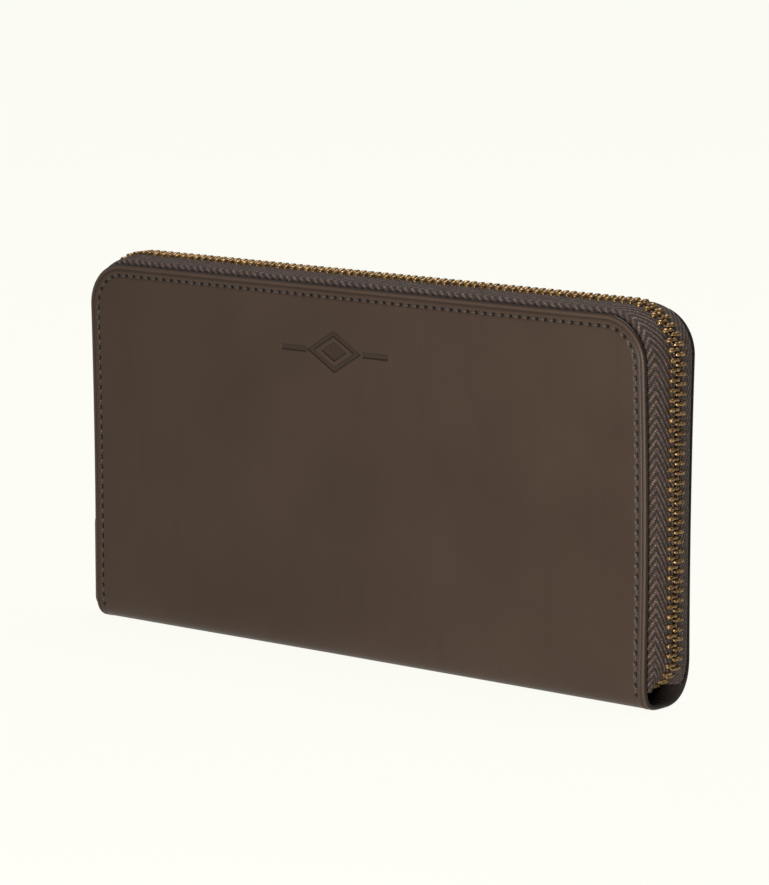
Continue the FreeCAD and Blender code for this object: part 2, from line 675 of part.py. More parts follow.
fold_round = round_profile(tab, "pull_tab_fold_section", -neck, (tab_bar, ring_level),
                           barrel_bore + d.tab_leather)
pad(tab, "pull_tab_fold", fold_round, d.tab_neck)
bore_round = round_profile(tab, "pull_tab_bore_section", -neck, (tab_bar, ring_level), barrel_bore)
doc.recompute()
bore = tab.newObject("PartDesign::Pocket", "pull_tab_bore")
bore.Profile = bore_round
bore.Reversed = True
bind(bore, "Length", d.tab_neck)
tab.Tip = bore
keep(tab, "pull_tab").Placement = main_place


# ---- card panels ----

for word, side in SIDES:
    for tier in range(CARD_PANELS):
        outer = under_lining - tier * card_pace - d.card_gap
        keep(slab(f"{word}_card_panel_{tier + 1}", side, (-pocket_half, pocket_half),
                  (outer - d.card_layer, outer), (d.card_foot, d.card_top - tier * d.card_step)),
             f"{word}_card_panel_{tier + 1}")


# ---- coin pocket, on the spine ----

wall_foot = d.leather + d.lining
coin_scale = d.coin_tooth_depth / d.tooth_depth
coin_half = d.chain_half * coin_scale
coin_shoulder = d.tooth_shoulder * coin_scale
coin_edge = coin_shoulder + d.coin_grip
coin_room = d.pocket_room / 2
coin_bulge = d.coin_slider_half + d.fit_gap + d.coin_tape   # where the tape turns down

for word, side in SIDES:
    keep(slab(f"coin_pocket_{word}_wall", side, (-pocket_half, pocket_half),
              (coin_room, pocket_outer), (wall_foot, d.pocket_top)), f"coin_pocket_{word}_wall")
    body = new_body(f"coin_zip_{word}_tape")
    section = new_sketch(body, f"coin_zip_{word}_tape_section", "YZ_Plane", -pocket_half)
    thick, sewn_foot, roll = d.coin_tape, d.pocket_top - d.coin_tape_hold, 2 * d.coin_tape
    profile = ((pocket_outer + thick, sewn_foot), (pocket_outer + thick, d.pocket_top),
               (coin_bulge, coin_z - roll), (coin_bulge, coin_z - thick / 2),
               (coin_bulge - thick / 2, coin_z + thick / 2), (coin_edge, coin_z + thick / 2),
               (coin_edge, coin_z - thick / 2), (coin_bulge - thick, coin_z - thick / 2),
               (coin_bulge - thick, coin_z - roll), (pocket_outer, d.pocket_top),
               (pocket_outer, sewn_foot))
    polygon(section, [(side * depth, height) for depth, height in profile])
    pad(body, f"coin_zip_{word}_tape_pad", section, d.pocket_length)
    keep(body, f"coin_zip_{word}_tape")

for label, end in ENDS:
    near = pocket_half - d.pocket_wall if end > 0 else -pocket_half
    keep(block(f"coin_pocket_{label}_end", (near, -coin_room, wall_foot),
               (d.pocket_wall, d.pocket_room, d.pocket_top - wall_foot)),
         f"coin_pocket_{label}_end")

coin_tooth = tooth((d.tooth_reach * coin_scale).value, coin_shoulder.value, coin_half.value,
                   d.coin_tooth_depth.value,
                   (d.head_width.value * coin_scale.value, d.leg_width.value * coin_scale.value),
                   (d.coin_tape + 2 * d.jaw_ease).value, coin_edge.value)
coin_closed = pocket_half - d.coin_end           # open end of the closed coin slider
coin_start = -coin_closed.value
coin_reach = coin_closed.value - d.coin_slider_length.value / 2 - coin_start
for (word, side), phase, turn in zip(SIDES, ROW_PHASES, (0, 180)):
    steps = int(coin_reach / d.coin_pitch.value - phase)
    last = coin_start + coin_reach
    places = [facing(V(last - (step + phase) * d.coin_pitch.value, 0, coin_z.value), 90, turn)
              for step in range(steps)]
    group(f"coin_zip_{word}_teeth", coin_tooth, places)

coin_place = FreeCAD.Placement(V(coin_closed.value, 0, coin_z.value),
                               FreeCAD.Rotation(V(0, 0, 1), 180))
coin_plate_top = slider_body("coin_slider_body", d.coin_slider_length, d.coin_slider_half,
                             d.coin_tooth_depth, d.coin_tooth_depth * 0.7, coin_place)
slider_crown("coin_slider_crown", d.coin_slider_length, coin_plate_top,
             d.slider_plate + 2 * d.slide_gap, coin_place)

puller_half = d.slider_plate / 2                 # half the thickness of the puller's sheet
puller_level = coin_plate_top + d.slide_gap + puller_half
pivot = d.coin_slider_length / 2
pivot_bar = rod("coin_puller_bar", puller_half, d.puller_width, (pivot, 0, puller_level))
leaf = block("coin_puller_leaf", (pivot, -d.puller_width / 2, puller_level - puller_half),
             (d.puller_length, d.puller_width, d.slider_plate))
eye_half = 1.5 * d.slider_plate + d.slide_gap
eye = block("coin_puller_eye", (pivot + puller_half, -eye_half, puller_level - d.slider_plate),
            (d.coin_slider_length / 2, 2 * eye_half, 2 * d.slider_plate))
coin_puller = keep(cut("coin_puller", fuse("coin_puller_blank", [pivot_bar, leaf]), eye),
                   "coin_puller")
coin_puller.Placement = coin_place


# ---- gussets: folded cloth between the coin pocket and each half ----

for word, side in SIDES:
    for label, end in ENDS:
        name = f"{word}_{label}_gusset"
        body = new_body(name)
        sketch = new_sketch(body, f"{name}_fold", "XY_Plane", panel_foot)
        edge = pocket_half + d.gusset_overhang
        deep = edge - d.gusset_fold
        knee = pocket_half + d.fit_gap
        outer, turn_in = under_lining - d.fit_gap, under_cards - d.fit_gap
        inner = coin_bulge + d.fit_gap
        middle, cloth = (turn_in + inner) / 2, d.gusset
        fold = ((edge, outer), (knee, turn_in), (deep, middle + cloth / 2),
                (deep, middle - cloth / 2), (edge, inner), (edge, inner + cloth),
                (deep + 1.5 * cloth, middle), (knee + cloth, turn_in - cloth),
                (edge, outer - 1.5 * cloth))
        polygon(sketch, [(end * along, side * depth) for along, depth in fold])
        pad(body, f"{name}_pad", sketch, d.gusset_top - panel_foot)
        keep(body, name)


# ---- checks and output ----

doc.recompute()
for item in doc.Objects:
    if "Invalid" in item.State or "Error" in item.State:
        raise RuntimeError(f"{item.Name} failed: {item.State}")
for part in subparts:
    if part.Shape.isNull() or not part.Shape.isValid() or not part.Shape.Solids:
        raise RuntimeError(f"{part.Label} has no valid solid")
os.makedirs("parts", exist_ok=True)
for part in subparts:
    part.Shape.exportStep(f"parts/{part.Label}.step")
print(len(subparts), "sub-parts written")
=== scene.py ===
import math

import bmesh
import bpy
import numpy as np
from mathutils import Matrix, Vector


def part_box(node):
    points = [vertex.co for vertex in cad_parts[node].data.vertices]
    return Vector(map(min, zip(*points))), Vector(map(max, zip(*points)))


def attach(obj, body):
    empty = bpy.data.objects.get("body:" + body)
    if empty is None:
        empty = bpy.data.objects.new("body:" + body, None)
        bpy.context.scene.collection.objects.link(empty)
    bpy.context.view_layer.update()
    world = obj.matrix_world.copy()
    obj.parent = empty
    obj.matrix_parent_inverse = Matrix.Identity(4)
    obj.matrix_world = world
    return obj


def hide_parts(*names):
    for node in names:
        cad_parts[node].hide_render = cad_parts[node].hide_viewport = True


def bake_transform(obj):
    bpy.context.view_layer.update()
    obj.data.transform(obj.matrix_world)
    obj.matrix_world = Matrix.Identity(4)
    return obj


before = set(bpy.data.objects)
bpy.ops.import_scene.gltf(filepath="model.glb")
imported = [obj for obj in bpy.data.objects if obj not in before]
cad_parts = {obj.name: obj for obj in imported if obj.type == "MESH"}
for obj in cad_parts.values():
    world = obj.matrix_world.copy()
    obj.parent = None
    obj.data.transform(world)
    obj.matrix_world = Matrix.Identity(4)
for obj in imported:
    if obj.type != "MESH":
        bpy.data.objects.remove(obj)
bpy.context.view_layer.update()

# A long zip-around wallet, closed and standing on its spine.  All lengths below are in
# millimetres; meshes are scaled to metres when they are made.  +X runs along the spine,
# -Y is the front, +Z points from the spine to the zip.

MM = 0.001
WELD = 0.0004                          # points closer than this become one
SIDES = (("front", -1), ("back", 1))


def box(node):
    """Lowest and highest corner of a CAD node, in millimetres."""
    low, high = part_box(node)
    return np.array(low) / MM, np.array(high) / MM


# ---- sizes read from the frame, and the few that its boxes don't show ----

cover_low, cover_high = box("front_cover_leather")
HALF_LENGTH = cover_high[0]
COVER_TOP = cover_high[2]
HALF_DEPTH = -cover_low[1]
LEATHER = box("spine_leather")[1][2]
CORNER = 12.0
TAPER = {-1: 2.4, 1: 1.4}              # how far each cover leans in towards the spine
LEFT_OUT = {-1: 1.3, 1: 0.0}           # how much less it leans at the left end
FULLNESS = {-1: 4.0, 1: 2.4}           # how square the round of the spine is under each cover
ROUND_TOP = 12.0                       # height at which a cover is upright
CROWN = 0.6                            # how far the middle of a cover stands out

STITCH_INSET = 3.0
STITCH_PITCH = 2.8
STITCH_HEIGHT = 4.2
CHAIN_OUT = 1.9                        # edge of the cover to the middle of the teeth
TOOTH_PITCH = 2.5
TAPE_START = 0.85                       # middle of the zip to the middle of the tape's bead
ZIP_FOOT = 14.0
END_BEND = 9.0
RUN_TOP = 84.5
ROW_PHASES = (0.25, 0.75)

# ---- meshes from arrays ----

def grid_faces(rows, columns, wrap=False):
    """Quads between neighbouring points of a grid stored row by row; wrap closes each row."""
    last = columns if wrap else columns - 1
    row, column = np.meshgrid(np.arange(rows - 1), np.arange(last), indexing="ij")
    after = (column + 1) % columns
    quads = np.stack([row * columns + column, row * columns + after,
                      (row + 1) * columns + after, (row + 1) * columns + column], axis=-1)
    return quads.reshape(-1, 4)


class Parts:
    """Blocks of points, faces, pattern coordinates, shades and material numbers of one mesh."""

    def __init__(self):
        self.points, self.faces, self.uvs, self.shades, self.finish = [], [], [], [], []
        self.count = 0

    def add(self, points, faces, uv=None, finish=0, shade=0.0):
        flat = np.asarray(points, float).reshape(-1, 3)
        self.points.append(flat)
        self.uvs.append(np.zeros((len(flat), 2)) if uv is None
                        else np.asarray(uv, float).reshape(-1, 2))
        self.shades.append(np.broadcast_to(np.ravel(shade), len(flat)))
        self.faces.extend((np.asarray(faces) + self.count).tolist())
        self.finish.extend([finish] * len(faces))
        self.count += len(flat)
        return self

    def grid(self, points, uv=None, finish=0, wrap=False, shade=0.0):
        """A surface given as a rows by columns array of points."""
        rows, columns = points.shape[:2]
        return self.add(points, grid_faces(rows, columns, wrap), uv, finish, shade)

    def tube(self, points, uv=None):
        """A closed tube: rows of points round a ring, with a flat cap at each end."""
        self.grid(points, uv, wrap=True)
        index = np.arange(points.shape[1])
        fan = np.stack([index, np.roll(index, -1), 0 * index + len(index)], axis=-1)
        for row in (0, -1):
            at = None if uv is None else np.vstack([uv[row], uv[row].mean(axis=0)])
            self.add(np.vstack([points[row], points[row].mean(axis=0)]), fan, at)
        return self

    def slab(self, points, uv):
        """A closed tube round a ribbon: each end is closed from one long side to the other."""
        self.grid(points, uv, wrap=True)
        half = points.shape[1] // 2
        for row in (0, -1):
            self.grid(*(np.stack([each[row, :half], each[row, half:][::-1]])
                        for each in (points, uv)))
        return self

    def tubes(self, points, finish=0):
        """Many tubes alike: an array of copies by rows by ring."""
        copies, rows, columns = points.shape[:3]
        start = np.arange(copies)[:, None, None]
        side = grid_faces(rows, columns, True) + start * rows * columns
        self.add(points, side.reshape(-1, 4), None, finish)
        index = np.arange(columns)
        fan = np.stack([index, np.roll(index, -1), 0 * index + columns], axis=-1)
        fans = (fan + start * (columns + 1)).reshape(-1, 3)
        for row in (0, -1):
            ring = points[:, row]
            capped = np.concatenate([ring, ring.mean(axis=1, keepdims=True)], axis=1)
            self.add(capped, fans, None, finish)
        return self

    def strip(self, fine, coarse, ratio, fine_uv, coarse_uv, finish=0):
        """Triangles between a row of points and another with one point for every few of it."""
        fold = np.arange(len(coarse) - 1)[:, None]
        near, part = len(fine) + fold, ratio * fold
        step = np.arange(ratio)[None]
        late = step >= ratio / 2
        fans = np.stack([near + late, part + step, part + step + 1], axis=-1).reshape(-1, 3)
        joins = np.stack([near, part - (-ratio // 2), near + 1], axis=-1).reshape(-1, 3)
        self.add(np.vstack([fine, coarse]), np.vstack([fans, joins]),
                 np.vstack([fine_uv, coarse_uv]), finish)

    def piece(self, name, materials):
        """The finished object: seams welded, faces turned outwards, lengths in metres."""
        mesh = bpy.data.meshes.new(name)
        mesh.from_pydata((np.vstack(self.points) * MM).tolist(), [], self.faces)
        layer = mesh.uv_layers.new(name="pattern")
        corners = np.empty(len(mesh.loops), int)
        mesh.loops.foreach_get("vertex_index", corners)
        layer.data.foreach_set("uv", np.vstack(self.uvs)[corners].ravel())
        # the shade attribute carries painted shade and painted highlight into the leather's
        # colour
        shade = mesh.attributes.new("shade", "FLOAT", "POINT")
        shade.data.foreach_set("value", np.concatenate(self.shades))
        mesh.polygons.foreach_set("material_index", self.finish)
        mesh.polygons.foreach_set("use_smooth", [True] * len(mesh.polygons))
        work = bmesh.new()
        work.from_mesh(mesh)
        bmesh.ops.remove_doubles(work, verts=work.verts, dist=WELD * MM)
        bmesh.ops.dissolve_degenerate(work, edges=work.edges, dist=WELD * MM)
        bmesh.ops.recalc_face_normals(work, faces=work.faces)
        work.to_mesh(mesh)
        work.free()
        for material in materials:
            mesh.materials.append(material)
        obj = bpy.data.objects.new(name, mesh)
        bpy.context.scene.collection.objects.link(obj)
        return obj

    def fix(self, name, materials, body, slot, *nodes):
        """The finished object, fixed to its body in place of the CAD nodes."""
        obj = self.piece(name, materials)
        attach(obj, body)
        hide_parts(*nodes)


def hang(obj, side, start, end, slot, *nodes):
    """A piece in place of the CAD nodes, with its transform baked into its mesh.

    Start and end are not used."""
    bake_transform(obj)
    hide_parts(*nodes)
    return obj


def ring_normals(ring):
    """Unit normals of a closed run of points in a plane: its direction turned a quarter."""
    ahead = np.roll(ring, -1, axis=0) - np.roll(ring, 1, axis=0)
    ahead = ahead / np.maximum(np.linalg.norm(ahead, axis=1, keepdims=True), 1e-9)
    normal = np.stack([ahead[:, 1], -ahead[:, 0]], axis=-1)
    turn = np.sum((ring - ring.mean(axis=0)) * normal)
    return normal if turn > 0 else -normal


def full_turn(count):
    return np.linspace(0, 2 * math.pi, count, endpoint=False)


def powered(wave, power):
    """A sine or cosine raised to a power with its sign kept, as in a superellipse."""
    return np.sign(wave) * np.abs(wave) ** power


def unit(vectors):
    return vectors / np.linalg.norm(vectors, axis=-1, keepdims=True)


def rounded_loft(ring, low, high, radius, widths=None, steps=2):
    """A closed section carried from low to high, both ends rounded by pulling it in.

    Near an end the section is moved inwards along its normals by radius times one less the sine
    of the turn, while the end lies radius times one less the cosine away.  Widths scale the
    section's first coordinate from end to end.
    """
    turn = np.linspace(0, math.pi / 2, 4)
    away = radius * (1 - np.cos(turn))
    pull = radius * (1 - np.sin(turn))
    station = np.concatenate([low + away, np.linspace(low + radius, high - radius, steps)[1:-1],
                              (high - away)[::-1]])
    pull = np.concatenate([pull, np.zeros(max(steps - 2, 0)), pull[::-1]])
    share = (station - low) / (high - low)
    scale = np.ones(len(station)) if widths is None else widths(share)
    body = ring[None] * np.stack([scale, np.ones(len(scale))], axis=-1)[:, None]
    body = body - ring_normals(ring)[None] * pull[:, None, None]
    height = np.broadcast_to(station[:, None], body.shape[:2])
    return body[..., 0], body[..., 1], height


def rounded_bar(width, thick, power=5.0, count=24):
    """A section between a rectangle and an ellipse: a superellipse."""
    angle = full_turn(count)
    return np.stack([width / 2 * powered(np.cos(angle), 2 / power),
                     thick / 2 * powered(np.sin(angle), 2 / power)], axis=-1)


def softened(corners, radius):
    """A closed outline with rounded corners: each corner is cut back, then twice again."""
    corners = np.asarray(corners, float)
    before, after = (corners + radius * unit(np.roll(corners, shift, axis=0) - corners)
                     for shift in (1, -1))
    ring = np.stack([before, corners, after], axis=1).reshape(-1, 2)
    for _ in range(2):
        ahead = np.roll(ring, -1, axis=0)
        ring = np.stack([0.75 * ring + 0.25 * ahead, 0.25 * ring + 0.75 * ahead],
                        axis=1).reshape(-1, 2)
    return ring


def ribbon(line, half):
    """The closed ring round a line of points: half the thickness to either side of it."""
    ahead = unit(np.gradient(line, axis=0))
    step = np.stack([-ahead[:, 1], ahead[:, 0]], axis=-1) * np.reshape(half, (-1, 1))
    return np.concatenate([line + step, (line - step)[::-1]])


def bent_line(corners, step):
    """Evenly spaced points along a run of corners, softened at each of them."""
    corners = np.asarray(corners, float)
    gone = np.concatenate([[0], np.cumsum(np.linalg.norm(np.diff(corners, axis=0), axis=1))])
    at = samples(gone[-1], step)
    line = np.stack([np.interp(at, gone, corners[:, axis]) for axis in (0, 1)], axis=-1)
    line[1:-1] = 0.25 * line[:-2] + 0.5 * line[1:-1] + 0.25 * line[2:]
    return line


def smooth(share):
    """Goes from 0 to 1 with a level start and end: three squares less two cubes."""
    share = np.clip(share, 0, 1)
    return share * share * (3 - 2 * share)


def stitches_on(parts, middle, heading, lift, reach=0.95, girth=0.24, finish=0):
    """Stitches with given middles, one direction and one outward direction: arched tubes."""
    step = np.linspace(-1, 1, 5)[None, :, None, None]
    turn = full_turn(6)[None, None, :, None]
    middle = np.stack(np.broadcast_arrays(*middle), axis=-1)[:, None, None]
    heading, lift = np.array(heading, float), np.array(lift, float)
    aside = np.cross(heading, lift)
    thick = girth * np.sqrt(np.clip(1 - step ** 4, 0.15, 1))
    height = 0.16 * (1 - step ** 2) - 0.14
    parts.tubes(middle + heading * step * reach + aside * thick * np.cos(turn)
                + lift * (height + thick * np.sin(turn)), finish)


def samples(length, step, multiple=1):
    """Evenly spaced places from 0 to a length, in a number of steps that the multiple divides."""
    return np.linspace(0, length, multiple * max(1, round(length / (step * multiple))) + 1)


def ridge(value, middle, width):
    """A smooth bump of height 1 at the middle, that falls off over the width."""
    return np.exp(-((value - middle) / width) ** 2)


# ---- shader helpers ----

class Wire:
    """A shader value; arithmetic on it adds Math nodes to its material."""

    def __init__(self, finish, socket):
        self.finish = finish
        self.socket = socket

    def math(self, operation, *others):
        return self.finish.node("ShaderNodeMath", {"operation": operation}, (self, *others))

    def __add__(self, other):
        return self.math("ADD", other)

    def __sub__(self, other):
        return self.math("SUBTRACT", other)

    def __mul__(self, other):
        return self.math("MULTIPLY", other)

    def __rsub__(self, other):
        return self.finish.node("ShaderNodeMath", {"operation": "SUBTRACT"}, (other, self))

    __radd__ = __add__
    __rmul__ = __mul__


class Finish:
    """One material: a Principled surface and the nodes that vary it."""

    def __init__(self, name, **constants):
        self.material = bpy.data.materials.new(name)
        self.material.use_nodes = True
        self.tree = self.material.node_tree
        self.shader = self.tree.nodes["Principled BSDF"]
        self.set(**constants)

    def set(self, **values):
        """Sets or links sockets of the surface; underscores stand for spaces."""
        for name, value in values.items():
            self.fill(self.shader.inputs[name.replace("_", " ")], value)

    def fill(self, socket, value):
        if isinstance(value, Wire):
            self.tree.links.new(value.socket, socket)
        elif socket.type == "RGBA" and len(value) == 3:
            socket.default_value = (*value, 1.0)
        else:
            socket.default_value = value

    def node(self, kind, settings=None, inputs=(), output=0):
        """Any node from its type, its settings and the values or links of its sockets."""
        made = self.tree.nodes.new(kind)
        for name, value in (settings or {}).items():
            setattr(made, name, value)
        named = inputs.items() if isinstance(inputs, dict) else enumerate(inputs)
        for key, value in named:
            self.fill(made.inputs[key], value)
        return Wire(self, made.outputs[output])

    @classmethod
    def of(cls, material):
        """The same helper for a material that is already made."""
        found = cls.__new__(cls)
        found.material, found.tree = material, material.node_tree
        found.shader = found.tree.nodes["Principled BSDF"]
        return found

    def clamp(self, value):
        return self.node("ShaderNodeClamp", {}, {"Value": value})

    def part(self, vector, axis):
        return self.node("ShaderNodeSeparateXYZ", {}, (vector,), axis)

    def place(self):
        """Position on the object, in millimetres."""
        spot = self.node("ShaderNodeTexCoord", output="Object")
        return self.node("ShaderNodeVectorMath", {"operation": "SCALE"},
                         {"Vector": spot, "Scale": 1000.0})

    def pattern(self):
        """Position in the piece's own flat pattern, in millimetres, as two values."""
        spot = self.node("ShaderNodeUVMap", {"uv_map": "pattern"})
        across = self.node("ShaderNodeSeparateXYZ", inputs=(spot,), output="X")
        along = self.node("ShaderNodeSeparateXYZ", inputs=(spot,), output="Y")
        return across, along

    def noise(self, where, scale, detail=2.0, rough=0.5):
        return self.node("ShaderNodeTexNoise", {}, {"Vector": where, "Scale": scale,
                         "Detail": detail, "Roughness": rough})

    def stretch(self, where, scale):
        return self.node("ShaderNodeVectorMath", {"operation": "MULTIPLY"}, (where, scale))

    def ramp(self, value, low, high, first=0.0, last=1.0):
        """Grey from first to last as the value goes from low to high."""
        made = self.node("ShaderNodeValToRGB", {}, (value,))
        for element, place, level in zip(made.socket.node.color_ramp.elements, (low, high),
                                         (first, last)):
            element.position, element.color = place, (level, level, level, 1.0)
        return made

    def mix(self, factor, first, second):
        return self.node("ShaderNodeMix", {"data_type": "RGBA"},
                         {"Factor": factor, 6: first, 7: second}, output=2)

    def bump(self, height, depth, strength=1.0, normal=None):
        """Bump from a height of 0 to 1 that stands for a depth in millimetres."""
        inputs = {"Strength": strength, "Distance": depth * MM, "Height": height}
        if normal is not None:
            inputs["Normal"] = normal
        return self.node("ShaderNodeBump", {}, inputs)


# ---- finishes ----

def smooth_leather(name, base, light, dark, gloss=0.16):
    """Satin, finely grained leather with faint upright wrinkles and a slow change of tone.

    The piece's shade attribute paints shadow into holes, shade into creases and highlights on
    crests; it also darkens the very edge."""
    finish = Finish(name, Specular_IOR_Level=gloss)
    where = finish.place()
    tone = finish.noise(where, 0.03, 3.0)
    streak = finish.noise(finish.stretch(where, (0.8, 0.8, 0.10)), 0.4, 4.0, 0.6)
    pores = finish.node("ShaderNodeTexVoronoi", {"feature": "F1"},
                        {"Vector": where, "Scale": 2.6, "Randomness": 1.0})
    grain = finish.noise(where, 1.9, 5.0, 0.65)
    shade = finish.node("ShaderNodeAttribute", {"attribute_name": "shade"}, output="Fac")
    mottle = finish.mix(finish.ramp(tone, 0.35, 0.65), base, light)
    streaked = finish.mix(finish.ramp(streak, 0.5, 0.8, 0.0, 0.2), mottle, dark)
    speckled = finish.mix(finish.ramp(grain, 0.5, 0.8, 0.0, 0.35), streaked,
                          light)
    # painted highlight: a positive shade takes the colour towards a light tone
    with_painted_highlight = finish.mix(finish.clamp(shade), speckled, tuple(2.4 * part for part in light))
    # painted shade and shadow: a negative shade takes the colour towards near black
    finish.set(Base_Color=finish.mix(finish.clamp(shade * -1.0), with_painted_highlight, (0.004, 0.003, 0.002)))
    finish.set(Roughness=finish.ramp(tone * 0.4 + grain * 0.6, 0.3, 0.7, 0.36, 0.48))
    height = grain * 0.5 + pores * 0.35 + streak * 0.35
    finish.set(Normal=finish.bump(height, 0.05, 0.6))
    return finish.material


def press_mark(material):
    """Adds a generic pressed ornament to a leather: a lozenge between two short bars.

    Its depth is a soft step of the distance to the outlines."""
    finish = Finish.of(material)
    where = finish.place()
    across = finish.part(where, "X")
    level = finish.part(where, "Z")
    depth = finish.part(where, "Y")
    from_middle = (across + 6.5).math("ABSOLUTE")
    from_line = (level - 83.0).math("ABSOLUTE")
    lozenge = (from_middle * 0.6 + from_line - 4.8).math("ABSOLUTE")
    core = from_middle * 0.6 + from_line - 1.8
    bar = from_line.math("MAXIMUM", (from_middle - 14.0).math("ABSOLUTE") - 3.6)
    nearest = lozenge.math("MINIMUM", core).math("MINIMUM", bar)
    groove = finish.node("ShaderNodeMapRange", {"interpolation_type": "SMOOTHSTEP"},
                         {"Value": nearest, "From Min": 0.35, "From Max": 1.0})
    front = finish.node("ShaderNodeMapRange", {}, {"Value": depth, "From Min": -4.0,
                                                  "From Max": -3.0, "To Min": 1.0, "To Max": 0.0})
    old = finish.shader.inputs["Normal"].links[0].from_socket
    pressed = 1.0 - (1.0 - groove) * front
    colour = Wire(finish, finish.shader.inputs["Base Color"].links[0].from_socket)
    finish.set(Normal=finish.bump(pressed, 0.7, 1.0, Wire(finish, old)),
               Base_Color=finish.mix((1.0 - pressed) * 0.45, colour, (0.014, 0.009, 0.006)))


def slanting(finish, where, scale, distortion):
    """Diagonal bands of twill ribs or of a thread's strands."""
    return finish.node("ShaderNodeTexWave", {"wave_type": "BANDS", "bands_direction": "DIAGONAL"},
                       {"Vector": where, "Scale": scale, "Distortion": distortion})


def flat_cloth(name, base, light):
    """Fine twill for linings: diagonal ribs and a slow change of tone."""
    finish = Finish(name, Roughness=0.85, Specular_IOR_Level=0.2)
    where = finish.place()
    rib = slanting(finish, where, 0.62, 0.4)
    tone = finish.noise(where, 0.08, 3.0)
    finish.set(Base_Color=finish.mix(rib * 0.5 + tone * 0.5, base, light))
    finish.set(Normal=finish.bump(rib, 0.08, 0.5))
    return finish.material


def woven_tape(name, middle, slope, pitch, base, light, dark):
    """Herringbone tape: ribs that slant opposite ways on either side of a line.

    The rib is a wave of the distance along, less the slope times the distance from the line;
    bright flecks are single yarns on the ribs, painted light as a highlight, and the weave's low
    parts are painted dark as shade."""
    finish = Finish(name, Roughness=0.78, Specular_IOR_Level=0.25)
    along, across = finish.pattern()
    aside = (across - middle).math("ABSOLUTE")
    rib = ((along - aside * slope) * (2 * math.pi / pitch)).math("SINE")
    yarn = ((along + aside * slope) * (2 * math.pi / 0.62)).math("SINE")
    thread = (across * (2 * math.pi / 0.55)).math("SINE")
    fleck = finish.noise(finish.place(), 2.1, 3.0, 0.7)
    slub = finish.noise(finish.place(), 0.25, 2.0)
    height = rib * 0.16 + yarn * thread * 0.15 + fleck * 0.95
    tint = finish.mix(finish.ramp(slub, 0.35, 0.65), base,
                      tuple(1.15 * part for part in base))
    # painted shade: the low parts of the weave go towards the near-black dark colour
    weave_with_painted_shade = finish.mix(finish.ramp(height, 0.18, 0.52), dark, tint)
    # painted highlight: the highest yarns go towards the light colour
    finish.set(Base_Color=finish.mix(finish.ramp(height, 0.60, 0.85),
                                     weave_with_painted_shade, light))
    finish.set(Normal=finish.bump(height, 0.30, 0.9))
    return finish.material


def twisted_thread(name, base, light):
    """Waxed thread: fine twisted strands."""
    finish = Finish(name, Roughness=0.42)
    strand = slanting(finish, finish.place(), 1.1, 0.6)
    finish.set(Base_Color=finish.mix(strand, base, light))
    finish.set(Normal=finish.bump(strand, 0.05, 0.6))
    return finish.material


def old_brass(name, bright, dull, rough=(0.24, 0.42)):
    """Antique brass: polished and brown in patches that vary at random."""
    finish = Finish(name, Metallic=1.0)
    where = finish.place()
    patina = finish.noise(where, 0.8, 4.0, 0.7)
    fine = finish.noise(where, 4.0, 3.0)
    finish.set(Base_Color=finish.mix(finish.ramp(patina, 0.40, 0.60),
                                     dull, bright))
    finish.set(Roughness=finish.ramp(fine, 0.3, 0.7, rough[0], rough[1]))
    finish.set(Normal=finish.bump(fine, 0.03, 0.4))
    return finish.material


def pressed_board(name):
    finish = Finish(name, Roughness=0.9)
    where = finish.place()
    fibre = finish.noise(finish.stretch(where, (1.0, 1.0, 0.3)), 1.5, 4.0)
    finish.set(Base_Color=finish.mix(fibre, (0.30, 0.25, 0.19), (0.45, 0.38, 0.30)))
    finish.set(Normal=finish.bump(fibre, 0.1, 0.5))
    return finish.material


COVER_LEATHER = smooth_leather("smooth_brown_leather", (0.0345, 0.0203, 0.0132),
                               (0.0405, 0.0245, 0.0163), (0.024, 0.0134, 0.0088))
press_mark(COVER_LEATHER)
BACKING = flat_cloth("black_backing", (0.014, 0.010, 0.008), (0.022, 0.016, 0.012))
TAB_LEATHER = smooth_leather("tab_leather", (0.050, 0.031, 0.022), (0.060, 0.039, 0.029),
                             (0.036, 0.022, 0.016))
CARD_LEATHER = smooth_leather("card_panel_leather", (0.062, 0.040, 0.029),
                              (0.074, 0.049, 0.036), (0.045, 0.028, 0.020), 0.25)
# the last two colours of each tape are its painted highlight and its painted shade
TAPE_CLOTH = woven_tape("herringbone_tape", 7.4, 1.4, 2.4, (0.046, 0.029, 0.023),
                        (0.25, 0.185, 0.150), (0.006, 0.004, 0.0035))
COIN_TAPE_CLOTH = woven_tape("coin_zip_tape", 3.0, 1.4, 1.6, (0.080, 0.054, 0.044),
                             (0.20, 0.15, 0.125), (0.022, 0.015, 0.013))
LINING_CLOTH = flat_cloth("brown_twill_lining", (0.095, 0.068, 0.052), (0.140, 0.103, 0.080))
POCKET_CLOTH = flat_cloth("pocket_twill", (0.075, 0.052, 0.040), (0.110, 0.080, 0.063))
THREAD = twisted_thread("dark_waxed_thread", (0.024, 0.015, 0.010), (0.050, 0.034, 0.025))
BRASS = old_brass("antique_brass_teeth", (0.33, 0.205, 0.088), (0.10, 0.058, 0.025), (0.34, 0.52))
SLIDER_BRASS = old_brass("antique_brass_slider", (0.46, 0.30, 0.135), (0.26, 0.165, 0.075),
                         (0.22, 0.36))
BOARD = pressed_board("pressed_board")


# ---- the covers' flat pattern and how it is folded ----

def lean(side, height):
    """How far a cover leans in at a height: most a third of the way up, nothing at the top.

    Two parabolas that meet at the waist."""
    level, waist = np.clip(height / COVER_TOP, 0, 1), 0.35
    above = 1 - ((level - waist) / (1 - waist)) ** 2
    below = 1 - 0.25 * ((waist - level) / waist) ** 2
    return TAPER[side] * np.where(level > waist, above, below)


